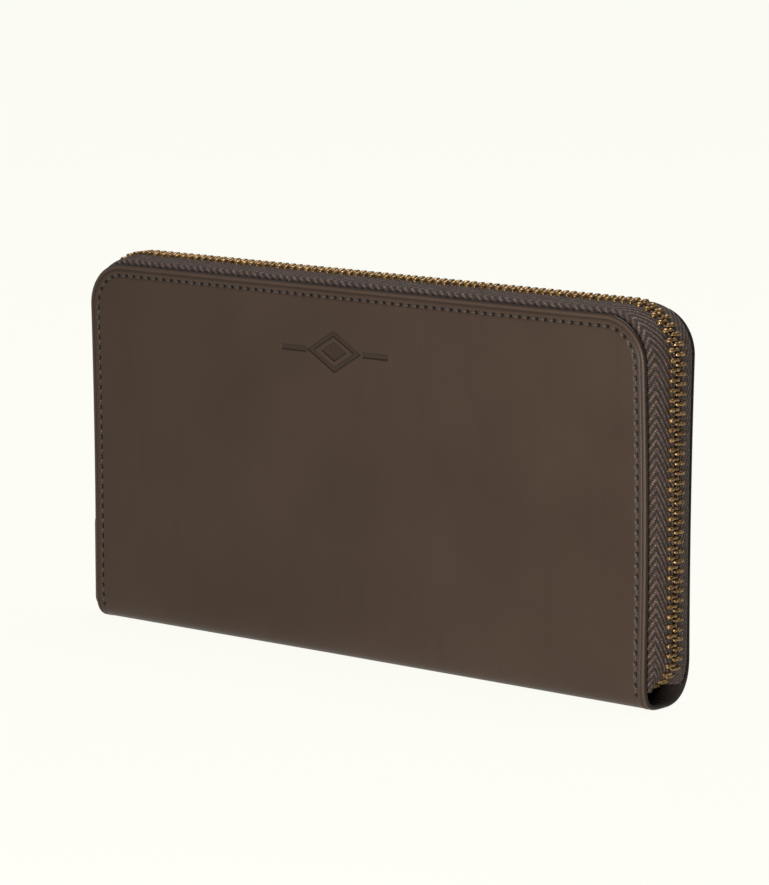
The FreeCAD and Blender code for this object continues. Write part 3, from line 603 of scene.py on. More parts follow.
def section(side, lift=0.0):
    """Half the section of the closed wallet: distance round it, depth, height, and its normal.

    Below the round's top it is a superellipse whose half width is the cover's depth there; above,
    it is the cover's lean.  Lift moves it along the normal."""
    turn = np.linspace(0, math.pi / 2, 500)
    power = 2 / FULLNESS[side]
    wide = HALF_DEPTH - lean(side, ROUND_TOP)
    upright = np.linspace(ROUND_TOP, COVER_TOP, 400)[1:]
    depth = np.concatenate([wide * np.sin(turn) ** power, HALF_DEPTH - lean(side, upright)])
    height = np.concatenate([ROUND_TOP * (1 - np.cos(turn) ** power), upright])
    ahead = np.stack([np.gradient(depth), np.gradient(height)], axis=-1)
    ahead = ahead / np.linalg.norm(ahead, axis=1, keepdims=True)
    gone = np.concatenate([[0], np.cumsum(np.hypot(np.diff(depth), np.diff(height)))])
    normal_depth, normal_height = ahead[:, 1], -ahead[:, 0]
    return gone, depth + lift * normal_depth, height + lift * normal_height, ahead


SECTION = {side: section(side) for word, side in SIDES}
RISE = {side: float(np.interp(ROUND_TOP, SECTION[side][2], SECTION[side][0]))
        for word, side in SIDES}
PATTERN_TOP = {side: SECTION[side][0][-1] for word, side in SIDES}


def left_out(side, across, depth, height):
    """How much less the front cover leans towards its left end: smooth in length and depth."""
    return (LEFT_OUT[side] * smooth(-across / HALF_LENGTH) * lean(side, height) / TAPER[side]
            * smooth(depth / (0.8 * HALF_DEPTH)))


def folded(side, across, up, lift):
    """Place of a point of the flat pattern, lifted off the outside of the section."""
    gone, depth, height, ahead = SECTION[side]
    at_depth = np.interp(up, gone, depth) + lift * np.interp(up, gone, ahead[:, 1])
    at_height = np.interp(up, gone, height) - lift * np.interp(up, gone, ahead[:, 0])
    at_depth = at_depth + left_out(side, across, at_depth, at_height)
    return np.stack([across + 0 * at_depth, side * at_depth, at_height], axis=-1)


def depth_at(side, height, lift):
    """Depth at a height of the layer that lies a lift off the outside."""
    gone, depth, level, ahead = section(side, lift)
    return np.interp(height, level, depth)


def up_at(side, height):
    """Distance round the section at which the outside has a height."""
    return float(np.interp(height, SECTION[side][2], SECTION[side][0]))


def outline(side, travel, inset):
    """A point of the flat pattern at a distance along the cover's edge and inside it.

    Travel runs up the left edge, round the corner, along the top and down the right edge, and is
    measured on the line of the stitches."""
    straight, reach = PATTERN_TOP[side] - CORNER, CORNER - STITCH_INSET
    turn, total = reach * math.pi / 2, edge_length(side)
    left = travel <= total / 2
    run = np.where(left, travel, total - travel)
    angle = np.clip((run - straight) / reach, 0, math.pi / 2)
    across = HALF_LENGTH - CORNER + (CORNER - inset) * np.cos(angle)
    across = across - np.maximum(run - straight - turn, 0)
    up = np.minimum(run, straight) + (CORNER - inset) * np.sin(angle)
    return np.where(left, -across, across), up


def edge_length(side):
    """Length of the stitches' line if it ran from the foot of one end to the other."""
    return 2 * (PATTERN_TOP[side] - CORNER + (CORNER - STITCH_INSET) * math.pi / 2
                + HALF_LENGTH - CORNER)


def crown(side, across, up):
    """Slow swelling of the cover: a product of two arches, flat towards the edges."""
    wide = 1 - np.clip(np.abs(across) / HALF_LENGTH, 0, 1) ** 4
    share = np.clip((up - RISE[side]) / (PATTERN_TOP[side] - RISE[side]), 0, 1)
    return CROWN * wide * np.sin(math.pi * share) ** 2


def stitch_run(side):
    """Where the row of stitches starts along the edge, its length and its stitch count."""
    first = up_at(side, STITCH_HEIGHT)
    length = edge_length(side) - 2 * first
    return first, length, round(length / STITCH_PITCH)


def cover_relief(side, travel, inset, up):
    """Height and painted shade of the turned edge: a crease, a puffed welt, and a hole at each
    stitch's ends in a shallow valley.  The shade paints a highlight on the crest, shade in the
    crease, shadow in each hole and a glint beside it, and darkens the very edge."""
    first, length, count = stitch_run(side)
    pitch = length / count
    along = (travel - first) / pitch
    hole = (along - np.round(along)) * pitch
    stitched = np.clip((up - first) / 1.0 + 1, 0, 1)
    # each stitch hole: a dent in the relief and a painted shadow in the shade
    pit_and_shadow = stitched * ridge(inset, STITCH_INSET, 0.46) * ridge(hole, 0, 0.62)
    # a rise beside each hole: raised in the relief and a painted glint in the shade
    lip_and_glint = stitched * ridge(inset, STITCH_INSET, 0.36) * ridge(hole, -0.98, 0.24)
    relief = -0.16 * ridge(inset, 1.35, 0.16) + 0.10 * ridge(inset, 2.1, 0.45)
    relief = relief + 0.08 * ridge(inset, 0.75, 0.3) + 0.12 * lip_and_glint
    relief = relief - stitched * 0.15 * ridge(inset, STITCH_INSET, 0.5) - 0.34 * pit_and_shadow
    # painted highlight along the edge's crest, painted shade in the crease
    shade = 0.34 * ridge(inset, 0.62, 0.28) - 0.5 * ridge(inset, 1.35, 0.14)
    # darker along the very edge
    shade = shade - 0.75 * ridge(inset, 0.0, 0.26)
    # painted shadow in the stitch holes, painted glint beside them
    return relief, shade - 1.7 * np.clip(pit_and_shadow * 1.5 - 0.3, 0, 1) + 0.9 * lip_and_glint


def cover_shell(name, side, materials, rim, foot, lifts, step, ratio, relief=None):
    """A sheet inside a cover's outline, with an outer and an inner face and a round edge.

    The rim is its inset from the cover's edge and the foot where it starts in the flat pattern.
    Near the edge a fine grid of travel by inset carries the relief; a strip joins it to a coarser
    one, and a plain grid fills the middle."""
    top_lift, low_lift = lifts
    radius = min((top_lift - low_lift) / 2, 0.65)
    round_in = radius * (1 - np.cos(np.linspace(0, math.pi / 2, 5)))
    fine = np.concatenate([round_in, np.arange(radius + 0.16, 4.4, 0.17)]) if relief else round_in
    coarse = np.linspace(fine[-1] + 1.2, CORNER - rim, 5)
    total = edge_length(side)
    rise = samples(PATTERN_TOP[side] - CORNER - foot, step, ratio) + foot
    bend = rise[-1] + samples((CORNER - STITCH_INSET) * math.pi / 2, step, ratio)
    length = bend[-1] + samples(2 * (HALF_LENGTH - CORNER), step, ratio)
    travel = np.concatenate([rise, bend[1:], length[1:], total - bend[::-1][1:],
                             total - rise[::-1][1:]])
    middle = length[::ratio] - length[0] - (HALF_LENGTH - CORNER)
    shell = Parts()

    def surface(run, inset, lift, sign, finish):
        """A grid of the border, lifted, with its rounding, relief and crown."""
        run, inset = np.meshgrid(run, inset, indexing="ij")
        across, up = outline(side, run, inset + rim)
        drop = radius - np.sqrt(np.maximum(radius ** 2 - np.maximum(radius - inset, 0) ** 2, 0))
        # the relief also gives the edge's painted shade and painted highlight
        extra, shade = relief(side, run, inset + rim, up) if relief and sign > 0 else (0, 0.0)
        points = folded(side, across, up, lift - sign * drop + extra + crown(side, across, up))
        uv = np.stack([run, inset], axis=-1)
        if len(inset[0]) > 1:
            shell.grid(points, uv, finish, shade=shade)
        return points, uv

    for lift, sign, finish, near in ((top_lift, 1, 0, fine), (low_lift, -1, 1, round_in)):
        far = coarse if sign > 0 else np.concatenate([fine[len(round_in):], coarse])
        inner, inner_uv = surface(travel, near, lift, sign, finish)
        outer, outer_uv = surface(travel[::ratio], far, lift, sign, finish)
        shell.strip(inner[:, -1], outer[:, 0], ratio, inner_uv[:, -1], outer_uv[:, 0], finish)
        across, up = np.meshgrid(middle, rise[::ratio], indexing="ij")
        shell.grid(folded(side, across, up, lift + crown(side, across, up)),
                   np.stack([across, up], axis=-1), finish)
    flank = np.concatenate([fine, coarse])
    drop = radius - np.sqrt(np.maximum(radius ** 2 - np.maximum(radius - flank, 0) ** 2, 0))
    extra = relief(side, foot + 0 * flank, flank + rim, foot + 0 * flank)[0] if relief else 0
    reach = np.concatenate([rim + flank - HALF_LENGTH, middle[1:-1],
                            (HALF_LENGTH - rim - flank)[::-1]])
    upper = np.concatenate([extra - drop, 0 * middle[1:-1], (extra - drop)[::-1]])
    lower = np.concatenate([drop, 0 * middle[1:-1], drop[::-1]])
    puff = crown(side, reach, foot + 0 * reach)
    shell.grid(np.stack([folded(side, reach, foot + 0 * reach, top_lift + upper + puff),
                         folded(side, reach, foot + 0 * reach, low_lift + lower + puff)]),
               None, 1)
    return shell.piece(name, materials)


def stitch_row(side):
    """Stitches along the edge: arched tubes that dive into the holes at their ends.

    Each is a ring of eight points carried along its length; its height is a parabola."""
    first, length, count = stitch_run(side)
    travel = np.linspace(first, first + length, count + 1)[:-1, None, None] + STITCH_PITCH / 2
    step, turn = np.linspace(-1, 1, 7)[None, :, None], full_turn(8)[None, None]
    girth = 0.25 * np.sqrt(np.clip(1 - step ** 4, 0.12, 1))
    run = travel + STITCH_PITCH * 0.34 * step + 0 * turn
    inward = STITCH_INSET + girth * np.cos(turn) + 0.14 * step
    height = 0.20 * (1 - step ** 2) - 0.34 + girth * np.sin(turn)
    across, up = outline(side, run, inward)
    return Parts().tubes(folded(side, across, up, height + crown(side, across, up)))


for word, side in SIDES:
    half = f"{word}_half"
    leather = cover_shell(f"{word}_leather", side, [COVER_LEATHER, BACKING], 0.0, 0.0,
                          (0.0, -LEATHER), STITCH_PITCH / 8, 4, cover_relief)
    hang(leather, side, (6.5, 0), (0.6, 0), "cover_leather", f"{word}_cover_leather",
         *(["spine_leather"] if side > 0 else []))
    stitch_row(side).fix(f"{word}_edge_stitches", [THREAD], half, "thread",
                         f"{word}_stitching")
    for part, slot, finish in (("board", "board", BOARD), ("lining", "lining_cloth",
                                                           LINING_CLOTH)):
        low, high = box(f"{word}_{part}")
        near, far = sorted((abs(low[1]), abs(high[1])))
        sheet = cover_shell(f"{word}_{part}_sheet", side, [finish, finish],
                            HALF_LENGTH - high[0], up_at(side, low[2]),
                            (far - HALF_DEPTH - 0.03, near - HALF_DEPTH + 0.03), 2.6, 1)
        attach(sheet, half)
        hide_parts(f"{word}_{part}")
        if part == "lining":
            width, length = 2 * high[0] * MM, (high[2] - low[2]) * 1.01 * MM
            0.985 * width * length


# ---- the zip ----

def zip_length():
    """Length of the line of the teeth from the left foot over the top to the right foot."""
    return 2 * (COVER_TOP - CORNER - ZIP_FOOT + (CORNER + CHAIN_OUT) * math.pi / 2
                + HALF_LENGTH - CORNER)


def rim_point(travel, depth, out, spread=0.0):
    """A point of the zip, at a distance along it, a depth from the middle and out of the edge.

    Travel is measured on the line of the teeth, from the left foot up, over the top and down to
    the right foot.  Beyond either foot the line turns in on a quarter circle; a point with a
    spread of 1 goes straight down beside the cover's edge instead."""
    radius, straight = CORNER + CHAIN_OUT, COVER_TOP - CORNER - ZIP_FOOT
    total = zip_length()
    left = travel <= total / 2
    run = np.where(left, travel, total - travel)
    angle = np.clip((run - straight) / radius, 0, math.pi / 2)
    tail = np.maximum(-run, 0) / END_BEND
    reach, bend = CORNER + out, END_BEND - CHAIN_OUT + out
    past = np.maximum(run - straight - radius * math.pi / 2, 0)
    straight_x = HALF_LENGTH - CORNER + reach * np.cos(angle) - past
    bent_x = HALF_LENGTH + CHAIN_OUT - END_BEND + bend * np.cos(tail)
    bent_z = ZIP_FOOT - bend * np.sin(tail)
    fallen_z = ZIP_FOOT - np.maximum(-run, 0) * 0.78
    x = np.where(run < 0, bent_x + (straight_x - bent_x) * spread, straight_x)
    z = np.where(run < 0, bent_z + (fallen_z - bent_z) * spread,
                 ZIP_FOOT + np.clip(run, 0, straight) + reach * np.sin(angle))
    x = np.where(left, -x, x)
    return np.stack([x, depth + 0 * x, z], axis=-1)


def make_tape(word, side):
    """The tape's closed section carried along the zip, with a bead in the teeth's grip.

    From the teeth its middle line falls as a power of its share of the way, dips behind the
    cover's edge and runs in between leather and lining."""
    share = np.concatenate([np.linspace(0, 0.06, 5), np.linspace(0.1, 1, 22)])
    sewn = np.linspace(0, 1, 6)[1:]
    shown = np.concatenate([share, 1 + 0 * sewn])
    out = np.concatenate([1.8 - 1.4 * share ** 2.2 - 2.2 * share ** 16, -1.8 - 3.0 * sewn])
    half = 0.24 + 0.26 * ridge(shown, 0.0, 0.035)
    depth = TAPE_START + 9.05 * shown
    line = np.stack([depth, out], axis=-1)
    ring = ribbon(line, half)
    ring_out, ring_shown = ring[:, 1], np.concatenate([shown, shown[::-1]])
    ring_step = ring[:, 0] - np.concatenate([depth, depth[::-1]])
    width = np.concatenate([[0], np.cumsum(np.hypot(np.diff(depth), np.diff(out)))])
    tail, whole = END_BEND * 1.3, zip_length()
    travel = np.concatenate([np.linspace(-tail, 0, 16), np.linspace(0, whole, 330)[1:-1],
                             np.linspace(0, tail, 16) + whole])
    run, shown = np.meshgrid(travel, ring_shown, indexing="ij")
    out = np.broadcast_to(ring_out, run.shape)
    points = rim_point(run, 0 * run, out, shown)
    limit = depth_at(side, points[..., 2], -LEATHER - 0.36)
    limit = limit + left_out(side, points[..., 0], limit, points[..., 2])
    points[..., 1] = side * (TAPE_START + (limit - TAPE_START) * shown + ring_step[None])
    uv = np.stack([run, np.broadcast_to(np.concatenate([width, width[::-1]]), run.shape)],
                  axis=-1)
    tape = Parts().tube(points, uv).piece(f"{word}_tape", [TAPE_CLOTH])
    hang(tape, side, (7.0, 7.5), (2.6, 3.95), "zip_tape",
         *(f"{word}_zip_tape{end}" for end in ("", "_slider_run", "_left_end", "_right_end")))


def tooth_form():
    """One tooth: rounded sections carried from the legs over a thin neck to the head.

    Gives sections by ring: along the chain, depth past the middle, and outwards."""
    depth = np.array([-3.05, -2.95, -1.55, -1.25, -0.55, -0.25, 0.35, 0.62])
    width = np.array([0.46, 0.60, 0.62, 0.50, 0.42, 0.54, 0.52, 0.34])
    height = np.array([0.74, 0.98, 1.04, 0.90, 0.86, 1.00, 0.96, 0.60])
    ring = full_turn(8) + math.pi / 8
    return (np.outer(width, powered(np.cos(ring), 0.6)), np.outer(depth, np.ones(8)),
            np.outer(height, powered(np.sin(ring), 0.6)))


def teeth_at(side, travel):
    """Copies of the tooth along the zip; each row's heads pass the middle."""
    along, depth, out = tooth_form()
    return rim_point(travel[:, None, None] + along, -side * depth, CHAIN_OUT + out)


def zip_rows():
    whole = zip_length()
    slider_low, slider_high = box("zip_slider_body")
    first = (slider_low[2] + slider_high[2]) / 2 - ZIP_FOOT
    ends = Parts()
    for (word, side), phase in zip(SIDES, ROW_PHASES):
        spots = first + TOOTH_PITCH * (np.arange(240) + phase)
        groups = ((spots <= RUN_TOP - ZIP_FOOT, f"{word}_teeth_by_slider",
                   f"{word}_zip_teeth_slider_run"),
                  ((spots > RUN_TOP - ZIP_FOOT) & (spots < whole - 1.0), f"{word}_teeth",
                   f"{word}_zip_teeth"))
        for chosen, name, node in groups:
            Parts().tubes(teeth_at(side, spots[chosen])).fix(name, [BRASS], f"{word}_half",
                                                             "zip_metal", node)
        chosen = (spots >= whole - 1.0) & (spots < whole + END_BEND * 1.2)
        ends.tubes(teeth_at(side, spots[chosen]))
    ends.fix("last_teeth", [BRASS], "spine", "zip_metal", "zip_last_teeth")


for word, side in SIDES:
    make_tape(word, side)
zip_rows()


# ---- sliders, pull ring and pull tab ----

def ribbon_bar(line, half, low, high, radius, step=None, widths=None):
    """A ribbon round a line, carried from low to high with rounded ends; also its pattern."""
    ring = ribbon(line, half)
    steps = 2 if step is None else max(2, round((high - low) / step))
    first, second, station = rounded_loft(ring, low, high, radius, widths, steps)
    gone = np.concatenate([[0], np.cumsum(np.linalg.norm(np.diff(line, axis=0), axis=1))])
    gone = np.broadcast_to(np.concatenate([gone, gone[::-1]]), station.shape)
    return first, second, station, np.stack([station, gone], axis=-1)


def slider(name, way, length, half, reach, plate, body, node):
    """A slider: two plates with turned-in edges round the chain, and a wedge between them.

    Each plate is a channel, carried along the chain and a little narrower at the tail; the wedge
    is a pointed outline carried from plate to plate.  Way turns places along, across and out of
    the chain into places in the frame."""
    middle, edge = reach - plate / 2, half - plate / 2
    parts = Parts()
    for face in (1, -1):
        line = bent_line([(-edge, face * 0.62), (-edge, face * middle), (edge, face * middle),
                          (edge, face * 0.62)], 0.35)
        across, out, along, uv = ribbon_bar(line, plate / 2, 0, length, 0.3, 0.8,
                                            lambda share: 1 - 0.05 * smooth(1 - share))
        parts.slab(way(along, across, out), uv)
    wedge = softened([(-0.35 * half, length - 0.4), (0.35 * half, length - 0.4),
                      (0.3, 0.78 * length), (-0.3, 0.78 * length)], 0.2)
    across, along, out = rounded_loft(wedge, 0.2 - middle, middle - 0.2, 0.05)
    parts.tube(way(along, across, out)).fix(name, [SLIDER_BRASS], body, "slider_metal", node)


def bridge(name, way, span, rise, half, thick, body, node):
    """The loop over a slider: a half superellipse carried across, waisted by its arms."""
    turn = np.linspace(0, math.pi, 25)
    low, high = span
    along = (low + high) / 2 + (high - low - thick) / 2 * powered(np.cos(turn), 0.7)
    out = rise[0] + (rise[1] - rise[0] - thick / 2) * np.sin(turn) ** 0.7
    along, out, across, uv = ribbon_bar(np.stack([along, out], axis=-1), thick / 2, -half, half,
                                        0.35)
    Parts().slab(way(along, across, out), uv).fix(name, [SLIDER_BRASS], body, "slider_metal",
                                                  node)


def loop(way, length, width, section, power=2.6, count=64):
    """A closed ring: a section carried round a superellipse; way makes places of its points."""
    reach = 2 * section[:, 0].max()
    line = rounded_bar(length - reach, width - reach, power, count)
    normal = ring_normals(line)
    spot = line[:, None] + normal[:, None] * section[None, :, :1]
    over = np.broadcast_to(section[None, :, 1], spot.shape[:2])
    points = way(spot[..., 0], spot[..., 1], over)
    return np.concatenate([points, points[:1]])


def main_slider():
    low, high = box("zip_slider_body")
    crown_low, crown_high = box("zip_slider_crown")
    foot, middle = low[2], (low[0] + high[0]) / 2

    def way(along, across, out):
        return np.stack([middle - out, across, foot + along], axis=-1)

    reach = (high[0] - low[0]) / 2
    slider("slider", way, high[2] - foot, high[1], reach, 0.9, "zip_slider", "zip_slider_body")
    bridge("slider_bridge", way, (crown_low[2] - foot, crown_high[2] - foot),
           (reach - 0.5, middle - crown_low[0] - 0.3), crown_high[1], 0.8, "zip_slider",
           "zip_slider_crown")


def pull_ring():
    """The ring that joins slider and tab: a round wire bent to a rounded rectangle."""
    low, high = box("pull_ring")
    centre = (low + high) / 2
    wire = (high[0] - low[0]) / 2
    section = rounded_bar(2 * wire, 2 * wire, 2.0, 14)
    points = loop(lambda first, second, over: np.stack(
        [centre[0] + over, centre[1] + second, centre[2] + first], axis=-1),
        high[2] - low[2], high[1] - low[1], section, 3.2)
    Parts().grid(points, wrap=True).fix("pull_ring_wire", [SLIDER_BRASS], "pull_ring",
                                        "slider_metal", "pull_ring")


def pull_tab():
    """The leather tab: one strip folded round the ring's lower bar and sewn to itself.

    Its line runs up one side, round the bar and down the other; its half width goes smoothly
    from the neck to the full width and its lower corners are quarter circles."""
    low, high = box("pull_tab")
    ring_low, ring_high = box("pull_ring")
    centre = (low[0] + high[0]) / 2
    bar = ring_low[2] + (ring_high[0] - ring_low[0]) / 2
    leather = 1.2
    bend = (high[0] - low[0]) / 2 - leather / 2
    angle = np.linspace(-0.5, math.pi + 0.5, 21)
    leg = np.linspace(low[2], bar - 2.6, 44)
    gap = leather / 2 + 0.02
    line_x = np.concatenate([gap + 0 * leg, bend * np.cos(angle), -gap + 0 * leg])
    line_z = np.concatenate([leg, bar + bend * np.sin(angle), leg[::-1]])
    line = np.stack([line_x, line_z], axis=-1)
    ring = ribbon(line, leather / 2)
    level = np.concatenate([line_z, line_z[::-1]])
    widest, neck, corner, inset = high[1] - 0.05, 2.0, 3.0, 1.7
    half = neck + (widest - neck) * smooth((bar - 2.5 - level) / 7.5)
    short = np.clip(low[2] + corner - level, 0, corner)
    half = half - corner + np.sqrt(corner ** 2 - short ** 2)
    round_off = 0.45
    turn = np.linspace(0, math.pi / 2, 5)
    pull = round_off * (1 - np.sin(turn))
    side_in = round_off * (1 - np.cos(turn))
    share = np.linspace(-1, 1, 13)[1:-1]
    across = np.concatenate([-half[None] + side_in[:, None], share[:, None] * (half - round_off),
                             (half[None] - side_in[:, None])[::-1]])
    pull = np.concatenate([pull, 0 * share, pull[::-1]])
    groove = 0.14 * ridge(np.minimum(half - np.abs(across), level - low[2]), inset, 0.35)
    body = ring - ring_normals(ring) * (pull[:, None] + groove)[..., None]
    points = np.stack([centre - body[..., 0], across, body[..., 1]], axis=-1)
    uv = np.stack([across, np.broadcast_to(level, across.shape)], axis=-1)
    parts = Parts().slab(points, uv)
    run, row = np.arange(low[2] + 3.2, bar - 11.0, 2.4), np.arange(-1, 2) * 2.5
    for face in (1, -1):
        at = centre - face * (2 * gap - 0.02)
        for side in (1, -1):
            stitches_on(parts, (at, side * (widest - inset), run), (0, 0, 1), (-face, 0, 0),
                        0.9, 0.24, 1)
        stitches_on(parts, (at, row, low[2] + inset), (0, 1, 0), (-face, 0, 0), 0.9, 0.24, 1)
    parts.fix("leather_pull_tab", [TAB_LEATHER, THREAD], "pull_tab", "tab_leather", "pull_tab")


def clamp_block(name, way, span, waist, radius, steps, body, node):
    """A waisted block: a rounded bar, carried from low to high and drawn in half way."""
    (width, thick), (low, high) = span
    count = 20 if body != "spine" else 24
    first, second, along = rounded_loft(rounded_bar(width, thick, 4.0, count), low, high, radius,
                                        lambda share: 1 - waist * np.sin(math.pi * share) ** 2,
                                        steps)
    Parts().tube(way(first, second, along)).fix(name, [SLIDER_BRASS], body, "zip_metal", node)


def stops():
    """Stops of the main zip: blocks pinched on to the tapes and over the chain's foot."""
    for word, side in SIDES:
        low, high = box(f"{word}_top_stop")
        middle, span = (low + high) / 2, high - low

        def upright(out, across, along):
            return np.stack([middle[0] - out, middle[1] + across, low[2] + along], axis=-1)

        clamp_block(f"{word}_top_clamp", upright, (span[:2], (0, span[2])), 0.12, 0.35, 8,
                    f"{word}_half", f"{word}_top_stop")
    low, high = box("bottom_stop")
    middle = (low + high) / 2
    turn = math.atan2(middle[2] - ZIP_FOOT, middle[0] - (HALF_LENGTH + CHAIN_OUT - END_BEND))

    def turned(first, second, along):
        return np.stack([middle[0] + first * math.cos(turn) - second * math.sin(turn), along,
                         middle[2] + first * math.sin(turn) + second * math.cos(turn)], axis=-1)

    clamp_block("bottom_clamp", turned, ((2.1, 2.1), (low[1], high[1])), 0.1, 0.4, 10, "spine",
                "bottom_stop")


# ---- inside: card panels, coin pocket, gussets and spine lining ----

def leant(side, depth, height, share=1.0):
    """A CAD depth moved in with the cover, or by a share of its lean."""
    return depth + (depth_at(side, height, 0.0) - HALF_DEPTH) * share


def card_panels():
    """Card panels: leaves that follow the cover's lean, with a turned and sewn upper edge."""
    for word, side in SIDES:
        for number in range(1, 5):
            node = f"{word}_card_panel_{number}"
            low, high = box(node)
            near, far = sorted((abs(low[1]), abs(high[1])))
            height = np.concatenate([np.arange(low[2], high[2] - 4.0, 1.6),
                                     np.linspace(high[2] - 4.0, high[2] - 0.2, 20)])
            depth = leant(side, (near + far) / 2 + 0 * height, height)
            half = (far - near) / 2 - 0.02
            turned = smooth((height - high[2] + 3.6) / 0.5)
            line = np.stack([depth - 0.1 * turned, height], axis=-1)
            depth, up, along, uv = ribbon_bar(line, half + 0.1 * turned, low[0], high[0], 0.15,
                                              3.0)
            parts = Parts().slab(np.stack([along, side * depth, up], axis=-1), uv)
            run, level = np.arange(low[0] + 2.5, high[0] - 2.0, 2.6), high[2] - 2.4
            stitches_on(parts, (run, side * (leant(side, near, level) - 0.2), level), (1, 0, 0),
                        (0, -side, 0), 1.0, 0.17, 1)
            parts.fix(f"{word}_card_pocket_{number}", [CARD_LEATHER, THREAD], f"{word}_half",
                      "card_leather", node)


def coin_pocket():
    """The coin pocket: a flat bag.  In plan it is a superellipse of high power, narrow at the
    foot; the rows run up its outside and down its inside."""
    low, high = box("coin_pocket_front_wall")
    reach, top, foot = high[0], high[2], low[2]
    turn, cloth = full_turn(240), 0.32
    wide, deep = powered(np.cos(turn), 0.30), powered(np.sin(turn), 0.22)
    level = np.concatenate([foot + 2.0 * (1 - np.cos(np.linspace(0, math.pi / 2, 5))),
                            np.linspace(foot + 4.0, top - 0.3, 30)])
    swell = 0.30 + 0.70 * smooth((level - foot) / 5.0) ** 0.6
    rise = np.concatenate([level, [top], np.maximum(level[::-1], foot + 0.8)])[:, None]
    swell = np.concatenate([swell, [swell[-1]], swell[::-1]])[:, None]
    inner = np.concatenate([0 * level, [cloth / 2], cloth * 2 + 0 * level])[:, None]
    wave = 0.10 * np.sin(wide * 9.0 + 1.0) * np.sin(rise / 9.0)
    depth = (-low[1] - 0.1) * swell + wave * (swell > 0.9)
    points = np.stack([(reach - inner) * wide + 0 * depth,
                       np.maximum(depth - inner, 0.12) * deep, rise + 0 * depth], axis=-1)
    Parts().tube(points, points[..., [0, 2]]).fix(
        "coin_bag", [POCKET_CLOTH], "spine", "pocket_cloth", "coin_pocket_front_wall",
        "coin_pocket_back_wall", "coin_pocket_left_end", "coin_pocket_right_end")


def coin_zip():
    """Tapes that bend over the bag's top to the teeth, two rows of teeth, slider and puller."""
    low, high = box("coin_slider_body")
    chain = (low[2] + high[2]) / 2
    along, depth, out = tooth_form()
    for word, side in SIDES:
        node = f"coin_zip_{word}_tape"
        tape_low, tape_high = box(node)
        line = bent_line([(1.45, chain), (2.7, chain - 0.15), (3.75, chain - 1.1),
                          (3.8, chain - 2.6), (3.45, chain - 4.5), (3.35, tape_low[2] + 0.2)],
                         0.3)
        across, up, run, uv = ribbon_bar(line, 0.2, tape_low[0], tape_high[0], 0.1, 3.0)
        Parts().slab(np.stack([run, side * across, up], axis=-1), uv).fix(
            f"coin_tape_{word}", [COIN_TAPE_CLOTH], "spine", "coin_tape", node)
        low, high = box(f"coin_zip_{word}_teeth")
        travel = np.arange(low[0] + 0.47, high[0], 2.0)[:, None, None]
        teeth = np.broadcast_arrays(travel + 0.85 * along, -side * 0.74 * depth,
                                    chain + 0.76 * out)
        Parts().tubes(np.stack(teeth, axis=-1)).fix(f"coin_teeth_{word}", [BRASS], "spine",
                                                    "zip_metal", f"coin_zip_{word}_teeth")
    low, high = box("coin_slider_body")
    crown_low, crown_high = box("coin_slider_crown")

    def way(along, across, out):
        return np.stack([high[0] - along, across, chain + out], axis=-1)

    slider("coin_slider", way, high[0] - low[0], high[1], high[2] - chain, 0.8, "coin_slider",
           "coin_slider_body")
    bridge("coin_slider_bridge", way, (high[0] - crown_high[0], high[0] - crown_low[0]),
           (high[2] - chain - 0.4, crown_high[2] - chain), crown_high[1], 0.75, "coin_slider",
           "coin_slider_crown")
    puller_low, puller_high = box("coin_puller")
    centre = (puller_low + puller_high) / 2

    def lying(first, second, over):
        return np.stack([centre[0] + first, centre[1] + second, centre[2] + over], axis=-1)

    span = puller_high - puller_low
    frame_of_puller = loop(lying, span[0], span[1], rounded_bar(1.2, span[2], 3.5, 16), 3.4, 72)
    field = softened([(-span[0] / 2 + 0.7, -1.3), (span[0] / 2 - 5.6, -1.3),
                      (span[0] / 2 - 5.0, 1.3), (-span[0] / 2 + 0.7, 1.3)], 0.5)
    Parts().grid(frame_of_puller, wrap=True).tube(
        lying(*rounded_loft(field, -0.22, 0.22, 0.1))).fix(
        "coin_puller_plate", [SLIDER_BRASS], "coin_puller", "slider_metal", "coin_puller")


def gussets():
    """Folded cloth at the ends: a leaf with two legs and an apex, sewn to the lining's edge.

    The fold opens a little towards the top; its outer leg moves in with the cover."""
    for word, side in SIDES:
        for end, hand in (("left", -1), ("right", 1)):
            node = f"{word}_{end}_gusset"
            low, high = box(node)
            plan = bent_line([(89.9, 8.55), (86.4, 6.95), (80.0, 6.15), (76.4, 5.75),
                              (76.4, 5.45), (80.0, 5.25), (89.9, 4.75)], 0.4)
            across, depth, up, uv = ribbon_bar(plan, 0.13, low[2], high[2], 0.08, 2.0)
            share = (up - low[2]) / (high[2] - low[2])
            sag = 0.12 * np.sin(across * 1.1 + share * 5.0) * np.sin(math.pi * share)
            inward = np.clip((depth + sag - 4.4) / (8.7 - 4.4), 0, 1)
            points = np.stack([hand * across, side * leant(side, depth + sag, up, inward), up],
                              axis=-1)
            fold = Parts().slab(points, uv).piece(f"{word}_{end}_fold", [LINING_CLOTH])
            hang(fold, side, (6.5, 40.0), (4.6, 40.0), "gusset_cloth", node)


def spine_lining():
    """Cloth along the inside of the spine: a shallow trough with soft edges."""
    low, high = box("spine_lining")
    across = np.linspace(low[1], high[1], 15)
    line = np.stack([across, low[2] + 0.28 + 0.3 * (across / high[1]) ** 2], axis=-1)
    depth, up, along, uv = ribbon_bar(line, 0.2, low[0], high[0], 0.12, 2.5)
    Parts().slab(np.stack([along, depth, up], axis=-1), uv).fix(
        "spine_lining_strip", [LINING_CLOTH], "spine", "lining_cloth", "spine_lining")


main_slider()
pull_ring()
pull_tab()
stops()
card_panels()
coin_pocket()
coin_zip()
gussets()
spine_lining()


# ---- floor, light and camera ----

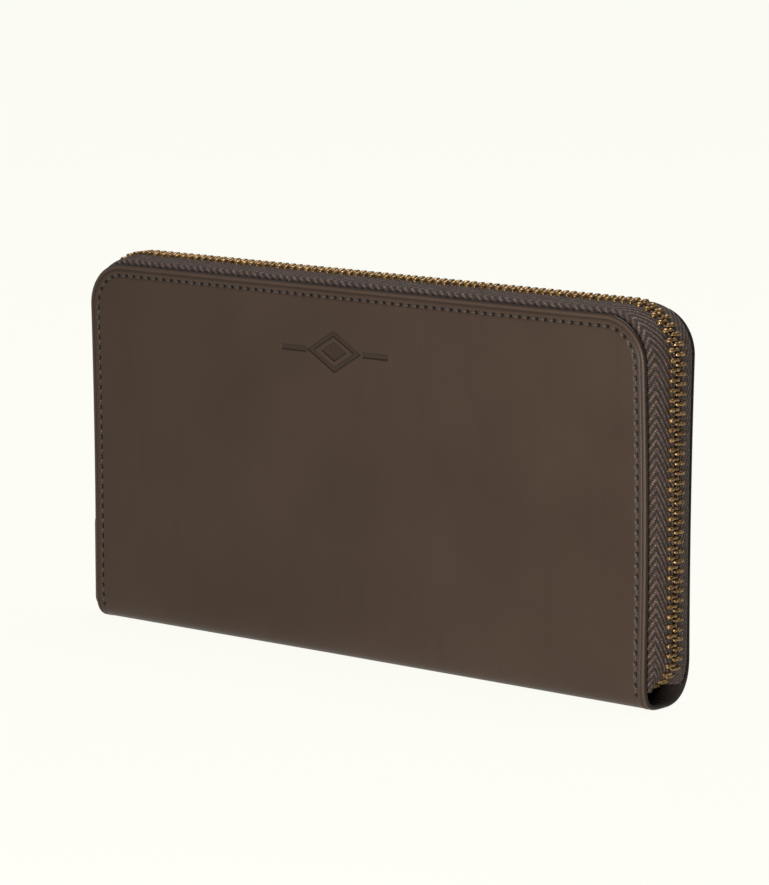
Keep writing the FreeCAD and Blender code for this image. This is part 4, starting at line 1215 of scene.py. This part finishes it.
def make_stage():
    """A pale floor that glows a little, so that shadows on it stay faint."""
    mesh = bpy.data.meshes.new("floor")
    reach = 12.0
    mesh.from_pydata([(-reach, -reach, 0), (reach, -reach, 0), (reach, reach, 0),
                      (-reach, reach, 0)], [], [(0, 1, 2, 3)])
    floor = bpy.data.objects.new("floor", mesh)
    bpy.context.scene.collection.objects.link(floor)
    floor.location.z = -0.0003
    finish = Finish("pale_floor", Base_Color=(0.022, 0.022, 0.021), Roughness=1.0,
                    Specular_IOR_Level=0.0, Emission_Color=(0.955, 0.955, 0.886),
                    Emission_Strength=1.0)
    mesh.materials.append(finish.material)


def aim(name, data, where, target):
    """An object of the given data at a place, turned towards a target."""
    obj = bpy.data.objects.new(name, data)
    bpy.context.scene.collection.objects.link(obj)
    obj.location = where
    obj.rotation_mode = "QUATERNION"
    obj.rotation_quaternion = (Vector(target) - Vector(where)).to_track_quat("-Z", "Y")
    return obj


def make_light(name, where, target, size, power):
    data = bpy.data.lights.new(name, "AREA")
    data.shape = "RECTANGLE"
    data.size, data.size_y = size
    data.energy = power
    aim(name, data, where, target).visible_camera = False


def make_camera():
    """Long lens near table height, a little above and to the right."""
    azimuth, elevation, distance = math.radians(40.0), math.radians(9.1), 1.086
    target = Vector((0.002, 0.0, 0.0584))
    back = Vector((math.sin(azimuth) * math.cos(elevation),
                   -math.cos(azimuth) * math.cos(elevation), math.sin(elevation)))
    data = bpy.data.cameras.new("camera")
    data.lens, data.sensor_width = 166.7, 36.0
    bpy.context.scene.camera = aim("camera", data, target + back * distance, target)


scene = bpy.context.scene
scene.view_settings.view_transform = "Standard"
world = bpy.data.worlds.new("studio")
scene.world = world
world.use_nodes = True
world.node_tree.nodes["Background"].inputs["Color"].default_value = (1.0, 1.0, 0.96, 1.0)
world.node_tree.nodes["Background"].inputs["Strength"].default_value = 0.22
make_stage()
make_camera()
make_light("key", (0.21, -0.36, 0.035), (0, 0, 0.045), (0.14, 0.14), 2.4)
make_light("front", (-0.15, -1.0, 0.30), (0, 0, 0.05), (0.35, 0.35), 0.6)
make_light("fill", (-1.1, -0.4, 0.8), (0, 0, 0.05), (0.6, 0.6), 2.2)
make_light("top", (0.1, 0.35, 1.3), (0, 0, 0.05), (0.9, 0.6), 17.0)
